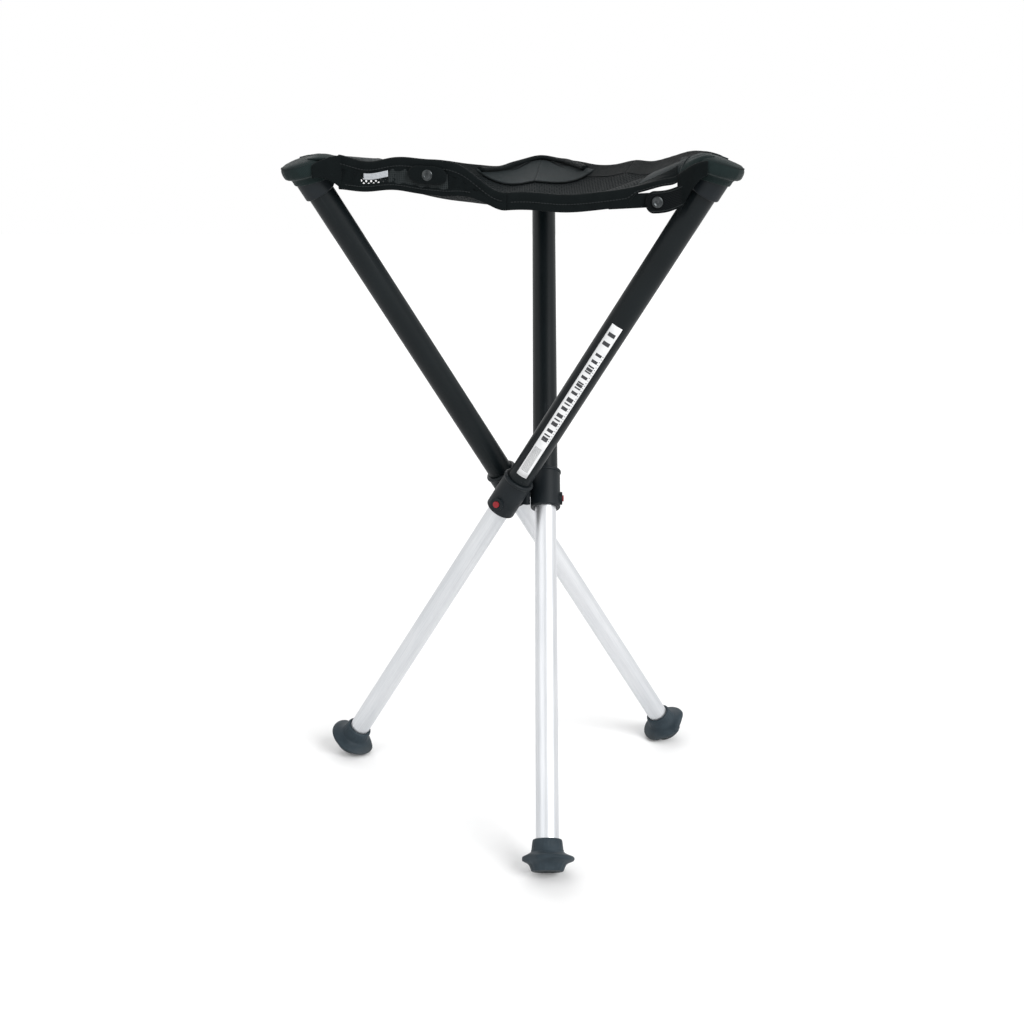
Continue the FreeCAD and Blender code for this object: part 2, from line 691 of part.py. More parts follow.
def hub():
    """The two halves of the hub, which trap the trunnions, and the screw and nut that clamp them."""
    gap = dim("pivot_gap")
    half = dim("hub_half")
    for mark, low in (("bottom", minus(half)), ("top", ZERO)):
        prism = doc.addObject("Part::Prism", "hub_prism_" + mark)
        prism.Polygon = 3
        prism.setExpression("Circumradius", (dim("hub_inradius") * 2).text)
        prism.setExpression("Height", half.text)
        turn = dim("first_leg_turn").value + 60.0
        prism.Placement = Placement(Vector(0, 0, low.value), Rotation(Vector(0, 0, 1), turn))
        doc.recompute()
        uprights = [i for i, edge in enumerate(prism.Shape.Edges, start=1)
                    if abs(edge.Length - half.value) < 1e-6 and abs(edge.tangentAt(0).z) > 0.9]
        rounded = doc.addObject("Part::Fillet", "hub_rounded_" + mark)
        rounded.Base = prism
        radius = dim("hub_round").value
        rounded.Edges = [(i, radius, radius) for i in uprights]
        tools = []
        for index, leg in enumerate(LEGS):
            turn = Rotation(Vector(0, 0, 1), dim("first_leg_turn").value + THIRD_TURN * index)
            neck = rod("neck_seat_" + mark + "_" + leg, dim("neck_radius") + gap,
                       dim("head_outer") - gap, dim("hub_inradius") + 1)
            head = rod("head_seat_" + mark + "_" + leg, dim("head_radius") + gap,
                       dim("head_inner") - gap, dim("head_outer") + gap)
            pair = fuse("trunnion_seat_" + mark + "_" + leg, neck, head)
            pair.Placement = Placement(Vector(), turn)
            tools.append(pair)
        bore = doc.addObject("Part::Cylinder", "screw_bore_" + mark)
        bore.setExpression("Radius", (dim("screw_radius") + dim("screw_gap")).text)
        bore.setExpression("Height", (half * 2).text)
        bore.setExpression("Placement.Base.z", minus(half).text)
        tools.append(bore)
        if mark == "bottom":
            well = doc.addObject("Part::Cylinder", "head_well")
            well.setExpression("Radius", (dim("screw_head_radius") + dim("screw_gap")).text)
            well.setExpression("Height", dim("screw_head").text)
            well.setExpression("Placement.Base.z", minus(half).text)
        else:
            well = doc.addObject("Part::Prism", "nut_well")
            well.Polygon = 6
            well.setExpression("Circumradius", (dim("nut_radius") + dim("screw_gap")).text)
            well.setExpression("Height", dim("nut_thick").text)
            well.setExpression("Placement.Base.z", (half - dim("nut_thick")).text)
        tools.append(well)
        hollow = fuse("hub_hollow_" + mark, *tools)
        shell = cut("hub_" + mark, rounded, hollow)
        keep("hub_" + mark + "_half", shell, Placement(Vector(0, 0, dim("hub_height").value), Rotation()))
    head = doc.addObject("Part::Cylinder", "hub_screw_head")
    head.setExpression("Radius", dim("screw_head_radius").text)
    head.setExpression("Height", dim("screw_head").text)
    shank = doc.addObject("Part::Cylinder", "hub_screw_shank")
    shank.setExpression("Radius", dim("screw_radius").text)
    shank.setExpression("Height", (half * 2).text)
    screw = fuse("hub_screw", head, shank)
    keep("hub_screw", screw, Placement(Vector(0, 0, dim("hub_height").value - half.value), Rotation()))
    blank = doc.addObject("Part::Prism", "hub_nut_blank")
    blank.Polygon = 6
    blank.setExpression("Circumradius", dim("nut_radius").text)
    blank.setExpression("Height", dim("nut_thick").text)
    thread = doc.addObject("Part::Cylinder", "hub_nut_thread")
    thread.setExpression("Radius", dim("screw_radius").text)
    thread.setExpression("Height", dim("nut_thick").text)
    nut = cut("hub_nut", blank, thread)
    height = dim("hub_height").value + half.value - dim("nut_thick").value
    keep("hub_nut", nut, Placement(Vector(0, 0, height), Rotation()))


def centre_on_floor():
    """Moves the stool so that the origin is on the floor, under the middle of its outline."""
    boxes = [obj.Shape.BoundBox for obj in sub_parts.values()]
    middle_x = (min(box.XMin for box in boxes) + max(box.XMax for box in boxes)) / 2
    middle_y = (min(box.YMin for box in boxes) + max(box.YMax for box in boxes)) / 2
    for obj in sub_parts.values():
        moved = obj.Placement
        moved.Base = moved.Base - Vector(middle_x, middle_y, 0)
        obj.Placement = moved
    return middle_x, middle_y


for index, leg in enumerate(LEGS):
    place = leg_placement(index)
    upper_tube(leg, place)
    joint_sleeve(leg, place)
    guide_bush(leg, place)
    end_cap(leg, place)
    lower_tube(leg, place)
    top_bush(leg, place)
    snap_clip(leg, place)
    release_button(leg, place)
    foot(leg, place)
    foot_plug(leg, place)
    corner_hood(leg, place)
    for mark, side in (("left", 1), ("right", -1)):
        seat_panel(leg, index, mark, side)
        edge_band(leg, index, mark, side)
closure()
label_strip(leg_placement(0))
hub()
doc.recompute()
shift = centre_on_floor()
doc.recompute()
print("axis of the hub from the origin:", round(-shift[0], 4), round(-shift[1], 4))

for obj in doc.Objects:
    if "Invalid" in obj.State or "Error" in obj.State:
        raise RuntimeError("failed: " + obj.Label)
for node, obj in sub_parts.items():
    if obj.Shape.isNull() or not obj.Shape.isValid():
        raise RuntimeError("bad shape: " + node)

os.makedirs("parts", exist_ok=True)
for node, obj in sub_parts.items():
    obj.Shape.exportStep("parts/" + node + ".step")
print("nodes:", len(sub_parts))
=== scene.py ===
import json
import math

import bmesh
import bpy
import numpy as np
from mathutils import Matrix, Vector


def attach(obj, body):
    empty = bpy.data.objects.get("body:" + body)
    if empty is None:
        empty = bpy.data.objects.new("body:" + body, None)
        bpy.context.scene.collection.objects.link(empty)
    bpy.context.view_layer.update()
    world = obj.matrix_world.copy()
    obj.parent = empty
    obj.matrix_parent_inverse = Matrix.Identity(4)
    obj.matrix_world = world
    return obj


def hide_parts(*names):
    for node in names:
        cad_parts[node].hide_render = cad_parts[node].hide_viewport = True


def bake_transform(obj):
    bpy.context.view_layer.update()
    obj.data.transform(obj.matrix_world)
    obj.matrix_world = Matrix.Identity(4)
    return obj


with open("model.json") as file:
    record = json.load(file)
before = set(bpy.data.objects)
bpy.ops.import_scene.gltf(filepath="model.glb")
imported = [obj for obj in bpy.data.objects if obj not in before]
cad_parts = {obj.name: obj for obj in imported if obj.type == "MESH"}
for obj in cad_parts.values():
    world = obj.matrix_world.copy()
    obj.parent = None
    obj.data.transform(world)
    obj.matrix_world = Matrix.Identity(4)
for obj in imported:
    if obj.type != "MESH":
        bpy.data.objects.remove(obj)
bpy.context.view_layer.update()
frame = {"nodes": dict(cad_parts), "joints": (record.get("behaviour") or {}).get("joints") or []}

# The looks of a folding three-legged stool: tubes, plastic and rubber fittings, and a slack mesh seat
# bound with folded tape. Metres. Each leg has its own frame: out along its pivot, round, and up the tube.

MM = 0.001
UP = np.array([0.0, 0.0, 1.0])
LEGS = ("a", "b", "c")
SIDES = (("left", 1), ("right", -1))
PANELS = [(leg, mark, side) for leg in LEGS for mark, side in SIDES]
JOINTS = {joint["name"]: joint for joint in frame["joints"]}

# The two halves of the front edge, each by its corner's leg and its side: the camera's left and right
LEFT_FRONT = ("c", -1)
RIGHT_FRONT = ("a", 1)

# Sizes of the source that the frame doesn't give, in metres
UPPER_TUBE_RADIUS = 0.0125
HOOD_BASE = 0.3718
HOOD_SLANT = 0.30
HOOD_RADIUS = 0.0244
HOOD_OUTER_RADIUS = 0.0208
FLAT_REACH = 0.02045
FLAT_TURN = math.radians(30.0)
FOOT_SOLE_RADIUS = 0.0148
FOOT_CONTACT = 0.0007
LABEL_LOW = 0.030
LABEL_LENGTH = 0.182
LABEL_WIDTH = 0.0112
LABEL_TURN = math.radians(-7.0)
CORNER_HALF = 0.020
EDGE_REACH = 0.122
CENTRE_HEIGHT = 0.602
EDGE_HEIGHT = {"front": 0.6105, "right": 0.638, "left": 0.641}
EDGE_OF = {LEFT_FRONT: "front", RIGHT_FRONT: "front", ("a", -1): "right",
           ("b", 1): "right", ("b", -1): "left", ("c", 1): "left"}
EDGE_BEND = {LEFT_FRONT: 15.5, RIGHT_FRONT: 0.3}
FRONT_GAP_END = 0.285
BAND_DEPTH = 0.0122
BAND_CORNER_DEPTH = 0.028
TOP_TAPE_DEPTH = 0.009
LOW_TAPE_DEPTH = 0.0065
WINDOW_START = 0.145
WINDOW_END = 0.31
BAND_THICK = 0.0026
STRAP_HIGH = 0.6118
STRAP_FALL = 0.038
STRAP_END = 0.215
STRAP_STUD = 0.147
STRAP_HALF = 0.0096
STRAP_OFF = 0.0036
BAND_END_HALF = 0.0062

# The photograph's camera, from a fit of the tubes' edges: pixels of focal length on a 1024 pixel frame
FOCAL_PIXELS = 1388.06
FRAME_PIXELS = 1024.0
SENSOR_MM = 36.0
CAMERA_BACK = 1.369
CAMERA_HEIGHT = 0.6277
CAMERA_DOWN = math.radians(13.62)
CAMERA_PAN = 0.0071


def unit(vectors):
    """Vectors along the last axis, brought to length one."""
    vectors = np.asarray(vectors, float)
    return vectors / np.linalg.norm(vectors, axis=-1, keepdims=True)


def leg_frame(leg):
    """The leg's pivot, and its axes as columns: out along the pivot, round, and up along the tube."""
    pivot = np.array(JOINTS["fold_" + leg]["pos_m"])
    out = unit(JOINTS["fold_" + leg]["axis"])
    up = unit(JOINTS["extend_" + leg]["axis"])
    return pivot, np.column_stack([out, np.cross(up, out), up])


AXIS = np.mean([leg_frame(leg)[0] for leg in LEGS], axis=0)


def on_leg(leg, points):
    """Points of a leg's frame, placed in the stool."""
    pivot, axes = leg_frame(leg)
    return pivot + np.asarray(points, float) @ axes.T


def off_leg(leg, points):
    """Points of the stool in the leg's frame."""
    pivot, axes = leg_frame(leg)
    return (np.asarray(points, float) - pivot) @ axes


# Meshes from grids of points

def side_lengths(points, wrap):
    """Mean distance from the first row of a grid to each row, with the closing stretch where it wraps."""
    line = np.concatenate([points, points[:1]]) if wrap else points
    steps = np.linalg.norm(np.diff(line, axis=0), axis=-1).mean(axis=-1)
    return np.concatenate([[0.0], np.cumsum(steps)])


def grid_faces(rows, columns, wrap_rows, wrap_columns):
    """The quads of a grid: each corner's row and column, counted past the end where the grid wraps."""
    i, j = np.meshgrid(np.arange(rows if wrap_rows else rows - 1),
                       np.arange(columns if wrap_columns else columns - 1), indexing="ij")
    i, j = i.ravel(), j.ravel()
    return np.stack([i, i + 1, i + 1, i], 1), np.stack([j, j, j + 1, j + 1], 1)


def mesh_object(name, points, faces, corner_uv=None, closed=False, merge=True):
    """A mesh object from points, faces and each face corner's UV in metres, shaded smooth."""
    mesh = bpy.data.meshes.new(name)
    mesh.from_pydata(points.tolist(), [], faces.tolist())
    if corner_uv is not None:
        layer = mesh.uv_layers.new(name="UVMap")
        layer.data.foreach_set("uv", corner_uv.reshape(-1).astype(np.float32))
    if merge:
        work = bmesh.new()
        work.from_mesh(mesh)
        bmesh.ops.remove_doubles(work, verts=work.verts, dist=2e-6)
        if closed:
            bmesh.ops.recalc_face_normals(work, faces=work.faces)
        work.to_mesh(mesh)
        work.free()
    mesh.polygons.foreach_set("use_smooth", np.ones(len(mesh.polygons), bool))
    mesh.update()
    obj = bpy.data.objects.new(name, mesh)
    bpy.context.scene.collection.objects.link(obj)
    return obj


def dress(obj, body, material):
    """Gives a piece its material, and lets it ride on its body when it has one."""
    obj.data.materials.append(material)
    if body is not None:
        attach(obj, body)
    return obj


def add_wall(obj, thick, offset, even=False):
    """Gives a sheet its thickness: inwards at offset -1, outwards at 1, and half each way at 0."""
    wall = obj.modifiers.new("wall", "SOLIDIFY")
    wall.thickness = thick
    wall.offset = offset
    wall.use_even_offset = even


def surface(name, points, wrap_rows=False, wrap_columns=False, closed=False, thick=0.0, offset=-1.0):
    """A piece from a grid of points (rows, columns, 3), with a UV in metres along its rows and columns."""
    rows, columns = points.shape[:2]
    corner_rows, corner_columns = grid_faces(rows, columns, wrap_rows, wrap_columns)
    u = side_lengths(points, wrap_rows)[corner_rows]
    v = side_lengths(points.swapaxes(0, 1), wrap_columns)[corner_columns]
    faces = (corner_rows % rows) * columns + corner_columns % columns
    obj = mesh_object(name, points.reshape(-1, 3), faces, np.stack([u, v], -1), closed)
    if thick:
        add_wall(obj, thick, offset, even=True)
    return obj


def swept(name, sections):
    """A closed piece from closed sections (rows, columns, 3), each end drawn together to its middle."""
    first = np.broadcast_to(sections[:1].mean(1, keepdims=True), sections[:1].shape)
    last = np.broadcast_to(sections[-1:].mean(1, keepdims=True), sections[-1:].shape)
    return surface(name, np.concatenate([first, sections, last]), wrap_columns=True, closed=True)


def rounded_loop(corners, rounds=2):
    """A closed outline smoothed by cutting its corners, each time at a quarter of both sides."""
    line = np.asarray(corners, float)
    for _ in range(rounds):
        after = np.roll(line, -1, axis=-2)
        line = np.stack([line * 0.75 + after * 0.25, line * 0.25 + after * 0.75], -2)
        line = line.reshape(*line.shape[:-3], -1, 2)
    return line


def soft_min(first, second, power=30.0):
    """The smaller of two lengths, rounded where they meet."""
    return (first ** -power + second ** -power) ** (-1.0 / power)


def flat_limit(turn, angles):
    """Distance from the leg's axis to the nearer of two flats that face turn - 30 and turn + 30 degrees.

    Directions that hardly face a flat have no limit, which is a metre here.
    """
    reach = np.full_like(angles, 1.0)
    least = 0.2
    for side in (-FLAT_TURN, FLAT_TURN):
        facing = np.cos(angles - turn - side)
        reach = np.minimum(reach, np.where(facing > least, FLAT_REACH / np.maximum(facing, least), 1.0))
    return reach


def turned(profile, around, shape=None, ripple=None):
    """A grid turned about the leg's axis from (radius, height) pairs in mm.

    The shape is a function of the angle and the radius in metres, which gives the radius there. The ripple
    is a function of the angle and the height in mm, which adds to the radius in mm.
    """
    angles = np.linspace(0.0, 2 * math.pi, around, endpoint=False)
    radius, height = (np.array(profile).T * MM)[:, :, None]
    radius = np.broadcast_to(radius, (len(profile), around)).copy()
    if ripple is not None:
        radius += np.where(radius > 0, ripple(angles[None, :], height / MM) * MM, 0.0)
    if shape is not None:
        radius = np.where(radius > 0, shape(angles[None, :], np.maximum(radius, 1e-5)), 0.0)
    return np.stack([radius * np.cos(angles), radius * np.sin(angles),
                     np.broadcast_to(height, radius.shape)], -1)


def bump(place, centre, width):
    """A rounded hill of height 1 at the centre: e to the minus square of the distance in widths."""
    return np.exp(-((place - centre) / width) ** 2)


def smooth_step(place, start, end):
    """From 0 at the start to 1 at the end, as 3 s squared less 2 s cubed."""
    share = np.clip((place - start) / (end - start), 0.0, 1.0)
    return share * share * (3 - 2 * share)


# The seat's surface

SEAT = {}
for leg in LEGS:
    corner = np.array(JOINTS["seat_fold_" + leg + "_left"]["pos_m"])
    away = (corner - AXIS)[:2]
    SEAT[leg] = (corner, np.linalg.norm(away), math.atan2(away[1], away[0]))

# An edge's middle in plan, from the seat's middle: along the corner's direction, and across it
MIDDLE_ALONG = EDGE_REACH * 0.5
MIDDLE_ACROSS = EDGE_REACH * math.sqrt(0.75)

# Dips and rises of the slack edges: place along the half edge and width as shares of it, and height in mm
EDGE_WAVES = {
    ("b", -1): ((0.50, 0.24, -5.0), (0.24, 0.20, -6.0)),
    ("b", 1): ((0.60, 0.22, -3.5), (0.20, 0.20, -1.5)),
    ("a", -1): ((0.25, 0.28, 5.0),),
    ("c", 1): ((0.42, 0.34, -4.5), (0.0, 0.10, 2.0)),
    RIGHT_FRONT: ((0.03, 0.07, -4.0), (0.48, 0.28, -4.2)),
    LEFT_FRONT: ((0.19, 0.14, -6.0), (0.0, 0.08, 0.8), (0.53, 0.20, -3.8)),
}
SLACK_MM = 1.1
EDGE_STEEP = 3.0


def half_width(along):
    """A panel's width at a place along it: from the corner's half width to that at the edge's middle."""
    return (1 - along) * CORNER_HALF + along * MIDDLE_ACROSS


def seat_height(leg, side, along, across, x, y):
    """The sagging seat: down from the corner as a sine to a power, up to the edge as a cube, with slack.

    The edges' waves are bumps that grow as the square across. The slack is two crossed sine waves over the
    plan, which fade out at the corner.
    """
    corner = SEAT[leg][0]
    power = 1.0 + (EDGE_BEND.get((leg, side), 1.0) - 1.0) * across ** 2
    fall = np.sin(np.clip(along, 0.0, 1.0) * math.pi / 2) ** power
    rise = (EDGE_HEIGHT[EDGE_OF[(leg, side)]] - CENTRE_HEIGHT) * across ** EDGE_STEEP
    height = corner[2] + (CENTRE_HEIGHT + rise - corner[2]) * fall
    for centre, width, lift in EDGE_WAVES.get((leg, side), ()):
        height = height + lift * MM * bump(along, centre, width) * across ** 2
    slack = (np.sin(52.0 * x + 23.0 * y + 0.6) * np.cos(37.0 * y - 15.0 * x)
             + 0.5 * np.sin(95.0 * x - 61.0 * y))
    return height + SLACK_MM * MM * slack * np.sin(np.clip(along, 0.0, 1.0) * math.pi * 0.5)


def seat_point(leg, side, along, across, lift=0.0):
    """A point of the seat: along runs from a corner to the middle, across from the seam to the edge."""
    along, across = np.broadcast_arrays(np.asarray(along, float), np.asarray(across, float))
    _, reach, turn = SEAT[leg]
    x = (1 - along) * reach + along * across * MIDDLE_ALONG
    y = -side * across * half_width(along)
    placed_x = math.cos(turn) * x - math.sin(turn) * y
    placed_y = math.sin(turn) * x + math.cos(turn) * y
    height = seat_height(leg, side, along, across, placed_x, placed_y) + lift
    return np.stack([AXIS[0] + placed_x, AXIS[1] + placed_y, height], -1)


def seat_place(plan):
    """For points in plan, from the hub's axis: the leg's number, the side, and the place along and across.

    The plan of a panel is a ruled quad, so its place along solves a quadratic.
    """
    turn = np.arctan2(plan[:, 1], plan[:, 0])
    turns = np.array([SEAT[leg][2] for leg in LEGS])
    apart = (turn[:, None] - turns[None, :] + math.pi) % (2 * math.pi) - math.pi
    nearest = np.abs(apart).argmin(1)
    side = np.where(apart[np.arange(len(plan)), nearest] < 0, 1, -1)
    reach = np.array([SEAT[leg][1] for leg in LEGS])[nearest]
    corner_turn = turns[nearest]
    x = np.cos(corner_turn) * plan[:, 0] + np.sin(corner_turn) * plan[:, 1]
    y = np.abs(-np.sin(corner_turn) * plan[:, 0] + np.cos(corner_turn) * plan[:, 1])
    narrowing = CORNER_HALF - MIDDLE_ACROSS
    square = -reach * narrowing
    line = x * narrowing - reach * MIDDLE_ACROSS + MIDDLE_ALONG * y
    rest = x * MIDDLE_ACROSS - MIDDLE_ALONG * y
    inner = np.sqrt(np.maximum(line * line - 4 * square * rest, 0.0))
    along = 1 - (-line - inner) / (2 * square)
    return nearest, side, along, y / half_width(along)


def seat_surface(plan):
    """Points of the seat above points in plan, from the hub's axis."""
    nearest, side, along, across = seat_place(plan)
    height = np.zeros(len(plan))
    for index, leg in enumerate(LEGS):
        for _, turn_side in SIDES:
            here = (nearest == index) & (side == turn_side)
            height[here] = seat_height(leg, turn_side, along[here], np.maximum(across[here], 0.0),
                                       plan[here, 0], plan[here, 1])
    return np.column_stack([AXIS[0] + plan[:, 0], AXIS[1] + plan[:, 1], height])


def edge_frame(leg, side):
    """The plan directions along a half edge and outwards from it, and the slant of its mitre."""
    first = seat_point(leg, side, 0.0, 1.0)
    last = seat_point(leg, side, 1.0, 1.0)
    run = unit([last[0] - first[0], last[1] - first[1], 0.0])
    out = np.array([run[1], -run[0], 0.0])
    away = unit([last[0] - AXIS[0], last[1] - AXIS[1], 0.0])
    if out @ away < 0:
        out = -out
    return run, out, (away @ run) / (away @ out)


def edge_grid(leg, side, along, outwards, rise):
    """A grid beside a half edge: a row for each place along, with offsets outwards and up, in metres.

    Offsets inwards follow the seat's slope. Towards the edge's middle the rows lean into the mitre, so that
    the two halves of an edge meet.
    """
    run, out, slant = edge_frame(leg, side)
    rows = along[:, None]
    edge = seat_point(leg, side, rows, 1.0)
    cloth = seat_point(leg, side, rows, 1.0 + np.minimum(outwards, 0.0) / half_width(rows))
    lean = slant * rows[..., None] ** 6
    points = edge + out * outwards[..., None] + run * outwards[..., None] * lean
    points[..., 2] = cloth[..., 2] + rise
    return points


def edge_points(leg, side, along, outwards, rise):
    """Points beside a half edge, each with its own place along, and its own or a shared offset out and up."""
    along, outwards, rise = np.broadcast_arrays(along, outwards, rise)
    grid = edge_grid(leg, side, along.ravel(), outwards.reshape(-1, 1), rise.reshape(-1, 1))
    return grid[:, 0].reshape(*along.shape, 3)


def edge_length(leg, side):
    """A half edge's length in plan."""
    return np.linalg.norm((seat_point(leg, side, 1.0, 1.0) - seat_point(leg, side, 0.0, 1.0))[:2])


# Materials

def new_material(name, **sockets):
    """A material with its shader's own sockets set by name, with _ for a space."""
    material = bpy.data.materials.new(name)
    material.use_nodes = True
    shader = material.node_tree.nodes["Principled BSDF"]
    for socket, value in sockets.items():
        shader.inputs[socket.replace("_", " ")].default_value = value
    return material, material.node_tree, shader


def feed(tree, socket, value):
    """Links an output to a socket, or sets the socket to a constant."""
    if isinstance(value, bpy.types.NodeSocket):
        tree.links.new(value, socket)
    else:
        socket.default_value = value


def add_node(tree, kind, values=None, **settings):
    """A shader node of that kind, with its settings, and values or outputs for its sockets by name."""
    made = tree.nodes.new("ShaderNode" + kind)
    for name, value in settings.items():
        setattr(made, name, value)
    for socket, value in (values or {}).items():
        feed(tree, made.inputs[socket], value)
    return made


def object_vector(tree, leg=None, stretch=1.0):
    """Object coordinates, or for a leg those of its own frame, drawn out along the tube."""
    coordinates = add_node(tree, "TexCoord").outputs["Object"]
    if leg is None:
        return coordinates
    pivot, axes = leg_frame(leg)
    turn = Matrix(axes.tolist()).to_euler("XYZ")
    return add_node(tree, "Mapping", {"Vector": coordinates, "Location": pivot.tolist(), "Rotation": turn,
                                      "Scale": (1.0, 1.0, stretch)}, vector_type="TEXTURE").outputs["Vector"]


def uv_vector(tree):
    return add_node(tree, "TexCoord").outputs["UV"]


def noise(tree, vector, scale, detail, rough=0.5):
    return add_node(tree, "TexNoise", {"Vector": vector, "Scale": scale, "Detail": detail,
                                       "Roughness": rough}).outputs["Fac"]


def ramp(tree, factor, low, high, start=0.3, end=0.7):
    """A colour that goes from low to high as the factor goes from start to end."""
    made = add_node(tree, "ValToRGB", {"Fac": factor})
    made.color_ramp.elements[0].position = start
    made.color_ramp.elements[1].position = end
    made.color_ramp.elements[0].color = (*low, 1.0)
    made.color_ramp.elements[1].color = (*high, 1.0)
    return made.outputs["Color"]


def math_node(tree, operation, first, second=0.5):
    made = add_node(tree, "Math", operation=operation)
    feed(tree, made.inputs[0], first)
    feed(tree, made.inputs[1], second)
    return made.outputs[0]


def spread(tree, factor, low, high):
    """A number from low to high as the factor goes from 0 to 1."""
    return add_node(tree, "MapRange", {"Value": factor, "To Min": low, "To Max": high}).outputs["Result"]


def mix_colours(tree, factor, first, second):
    """The first colour at factor 0, the second at 1."""
    made = add_node(tree, "Mix", data_type="RGBA")
    for name, value in (("Factor", factor), ("A", first), ("B", second)):
        socket = [s for s in made.inputs if s.name == name and s.enabled][-1]
        feed(tree, socket, (*value, 1.0) if isinstance(value, tuple) else value)
    return [s for s in made.outputs if s.enabled][-1]


def bumped(tree, shader, height, distance, strength, before=None):
    """Adds relief of that depth in metres to the shader, over any relief that is there before it."""
    made = add_node(tree, "Bump", {"Height": height, "Distance": distance, "Strength": strength})
    if before is not None:
        tree.links.new(before, made.inputs["Normal"])
    tree.links.new(made.outputs["Normal"], shader.inputs["Normal"])
    return made.outputs["Normal"]


def colour(tree, shader, output):
    tree.links.new(output, shader.inputs["Base Color"])


def roughness(tree, shader, output):
    tree.links.new(output, shader.inputs["Roughness"])


def powder_coat(leg):
    """Black satin powder coat on the upper tubes, with orange peel and faint rubbed streaks along them."""
    material, tree, shader = new_material("powder_coat_" + leg, Specular_IOR_Level=0.18)
    fine = object_vector(tree, leg)
    streaks = noise(tree, object_vector(tree, leg, 30.0), 260.0, 4.0)
    patches = noise(tree, fine, 14.0, 3.0)
    base = ramp(tree, patches, (0.0026, 0.0048, 0.0060), (0.0048, 0.0080, 0.0094))
    rubbed = math_node(tree, "MULTIPLY", math_node(tree, "GREATER_THAN", streaks, 0.66), 0.35)
    colour(tree, shader, mix_colours(tree, rubbed, base, (0.016, 0.020, 0.022)))
    roughness(tree, shader, spread(tree, streaks, 0.34, 0.50))
    bumped(tree, shader, noise(tree, fine, 1300.0, 2.0), 0.00004, 0.6)
    return material


def anodised(leg):
    """Satin anodised aluminium on the lower tubes: fine drawn lines along them, and duller patches."""
    material, tree, shader = new_material("anodised_" + leg, Metallic=0.88)
    drawn = noise(tree, object_vector(tree, leg, 60.0), 1500.0, 3.0)
    patches = noise(tree, object_vector(tree, leg, 4.0), 30.0, 4.0)
    tone = math_node(tree, "ADD", math_node(tree, "MULTIPLY", drawn, 0.5),
                     math_node(tree, "MULTIPLY", patches, 0.5))
    colour(tree, shader, ramp(tree, tone, (0.53, 0.55, 0.575), (0.72, 0.73, 0.745)))
    roughness(tree, shader, spread(tree, tone, 0.30, 0.46))
    bumped(tree, shader, drawn, 0.00002, 0.5)
    return material


def grained(name, dark, light, rough, patch_scale, grain, depth, strength, **sockets):
    """A hard material in two tones with patches in its tone and gloss, and a fine grain in relief."""
    material, tree, shader = new_material(name, **sockets)
    vector = object_vector(tree)
    patches = noise(tree, vector, patch_scale, 4.0)
    colour(tree, shader, ramp(tree, patches, dark, light))
    roughness(tree, shader, spread(tree, patches, *rough))
    bumped(tree, shader, noise(tree, vector, grain, 2.0), depth, strength)
    return material


def moulded(name, dark, light, rough=(0.42, 0.56), grain=900.0):
    """A moulded plastic with a fine spark-eroded grain."""
    return grained(name, dark, light, rough, 45.0, grain, 0.00006, 0.7, Specular_IOR_Level=0.18)


def plated(name, dark, light, rough=(0.25, 0.42)):
    """Plated steel with fine turned marks and dull patches."""
    return grained(name, dark, light, rough, 350.0, 1800.0, 0.00002, 0.5, Metallic=1.0)


def rubber():
    """The feet's rubber: dull, fine grained, dusty and scuffed towards the floor."""
    material, tree, shader = new_material("foot_rubber", Specular_IOR_Level=0.16)
    vector = object_vector(tree)
    base = ramp(tree, noise(tree, vector, 60.0, 4.0), (0.016, 0.025, 0.032), (0.030, 0.043, 0.053))
    height = add_node(tree, "SeparateXYZ", {"Vector": vector}).outputs["Z"]
    low = add_node(tree, "MapRange", {"Value": height, "From Min": 0.0, "From Max": 0.012,
                                      "To Min": 1.0, "To Max": 0.0}).outputs["Result"]
    scuffed = math_node(tree, "MULTIPLY", low, noise(tree, vector, 420.0, 4.0, 0.7))
    dust = math_node(tree, "MULTIPLY", scuffed, 0.8)
    colour(tree, shader, mix_colours(tree, dust, base, (0.105, 0.105, 0.098)))
    roughness(tree, shader, spread(tree, scuffed, 0.55, 0.82))
    bumped(tree, shader, noise(tree, vector, 1100.0, 3.0), 0.00008, 0.7)
    return material


def woven(name, dark, light, pitch, depth, sheen, slope=0.0):
    """Plain-woven synthetic cloth: two crossed sets of threads on the piece's own UV, with uneven dye.

    The pitch of the threads and the depth of their relief are in metres, and the slope turns the weave. A
    wave texture of scale 1 repeats every 2 pi / 20.
    """
    material, tree, shader = new_material(name, Sheen_Weight=sheen, Sheen_Roughness=0.4,
                                          Specular_IOR_Level=0.05, Roughness=0.72)
    turned_uv = add_node(tree, "Mapping", {"Vector": uv_vector(tree), "Rotation": (0.0, 0.0, slope)})
    vector = turned_uv.outputs["Vector"]
    threads = 2 * math.pi / 20.0 / pitch
    wave = {"Vector": vector, "Scale": threads, "Distortion": 0.6, "Detail": 1.0}
    warp = add_node(tree, "TexWave", wave, bands_direction="X").outputs["Fac"]
    weft = add_node(tree, "TexWave", wave, bands_direction="Y").outputs["Fac"]
    over = math_node(tree, "MAXIMUM", warp, weft)
    patches = noise(tree, vector, 55.0, 4.0)
    tone = math_node(tree, "MULTIPLY", over, spread(tree, patches, 0.55, 1.0))
    colour(tree, shader, ramp(tree, tone, dark, light, 0.15, 0.95))
    weave = bumped(tree, shader, over, depth, 0.8)
    bumped(tree, shader, noise(tree, vector, 130.0, 3.0), 0.0005, 0.35, weave)
    return material


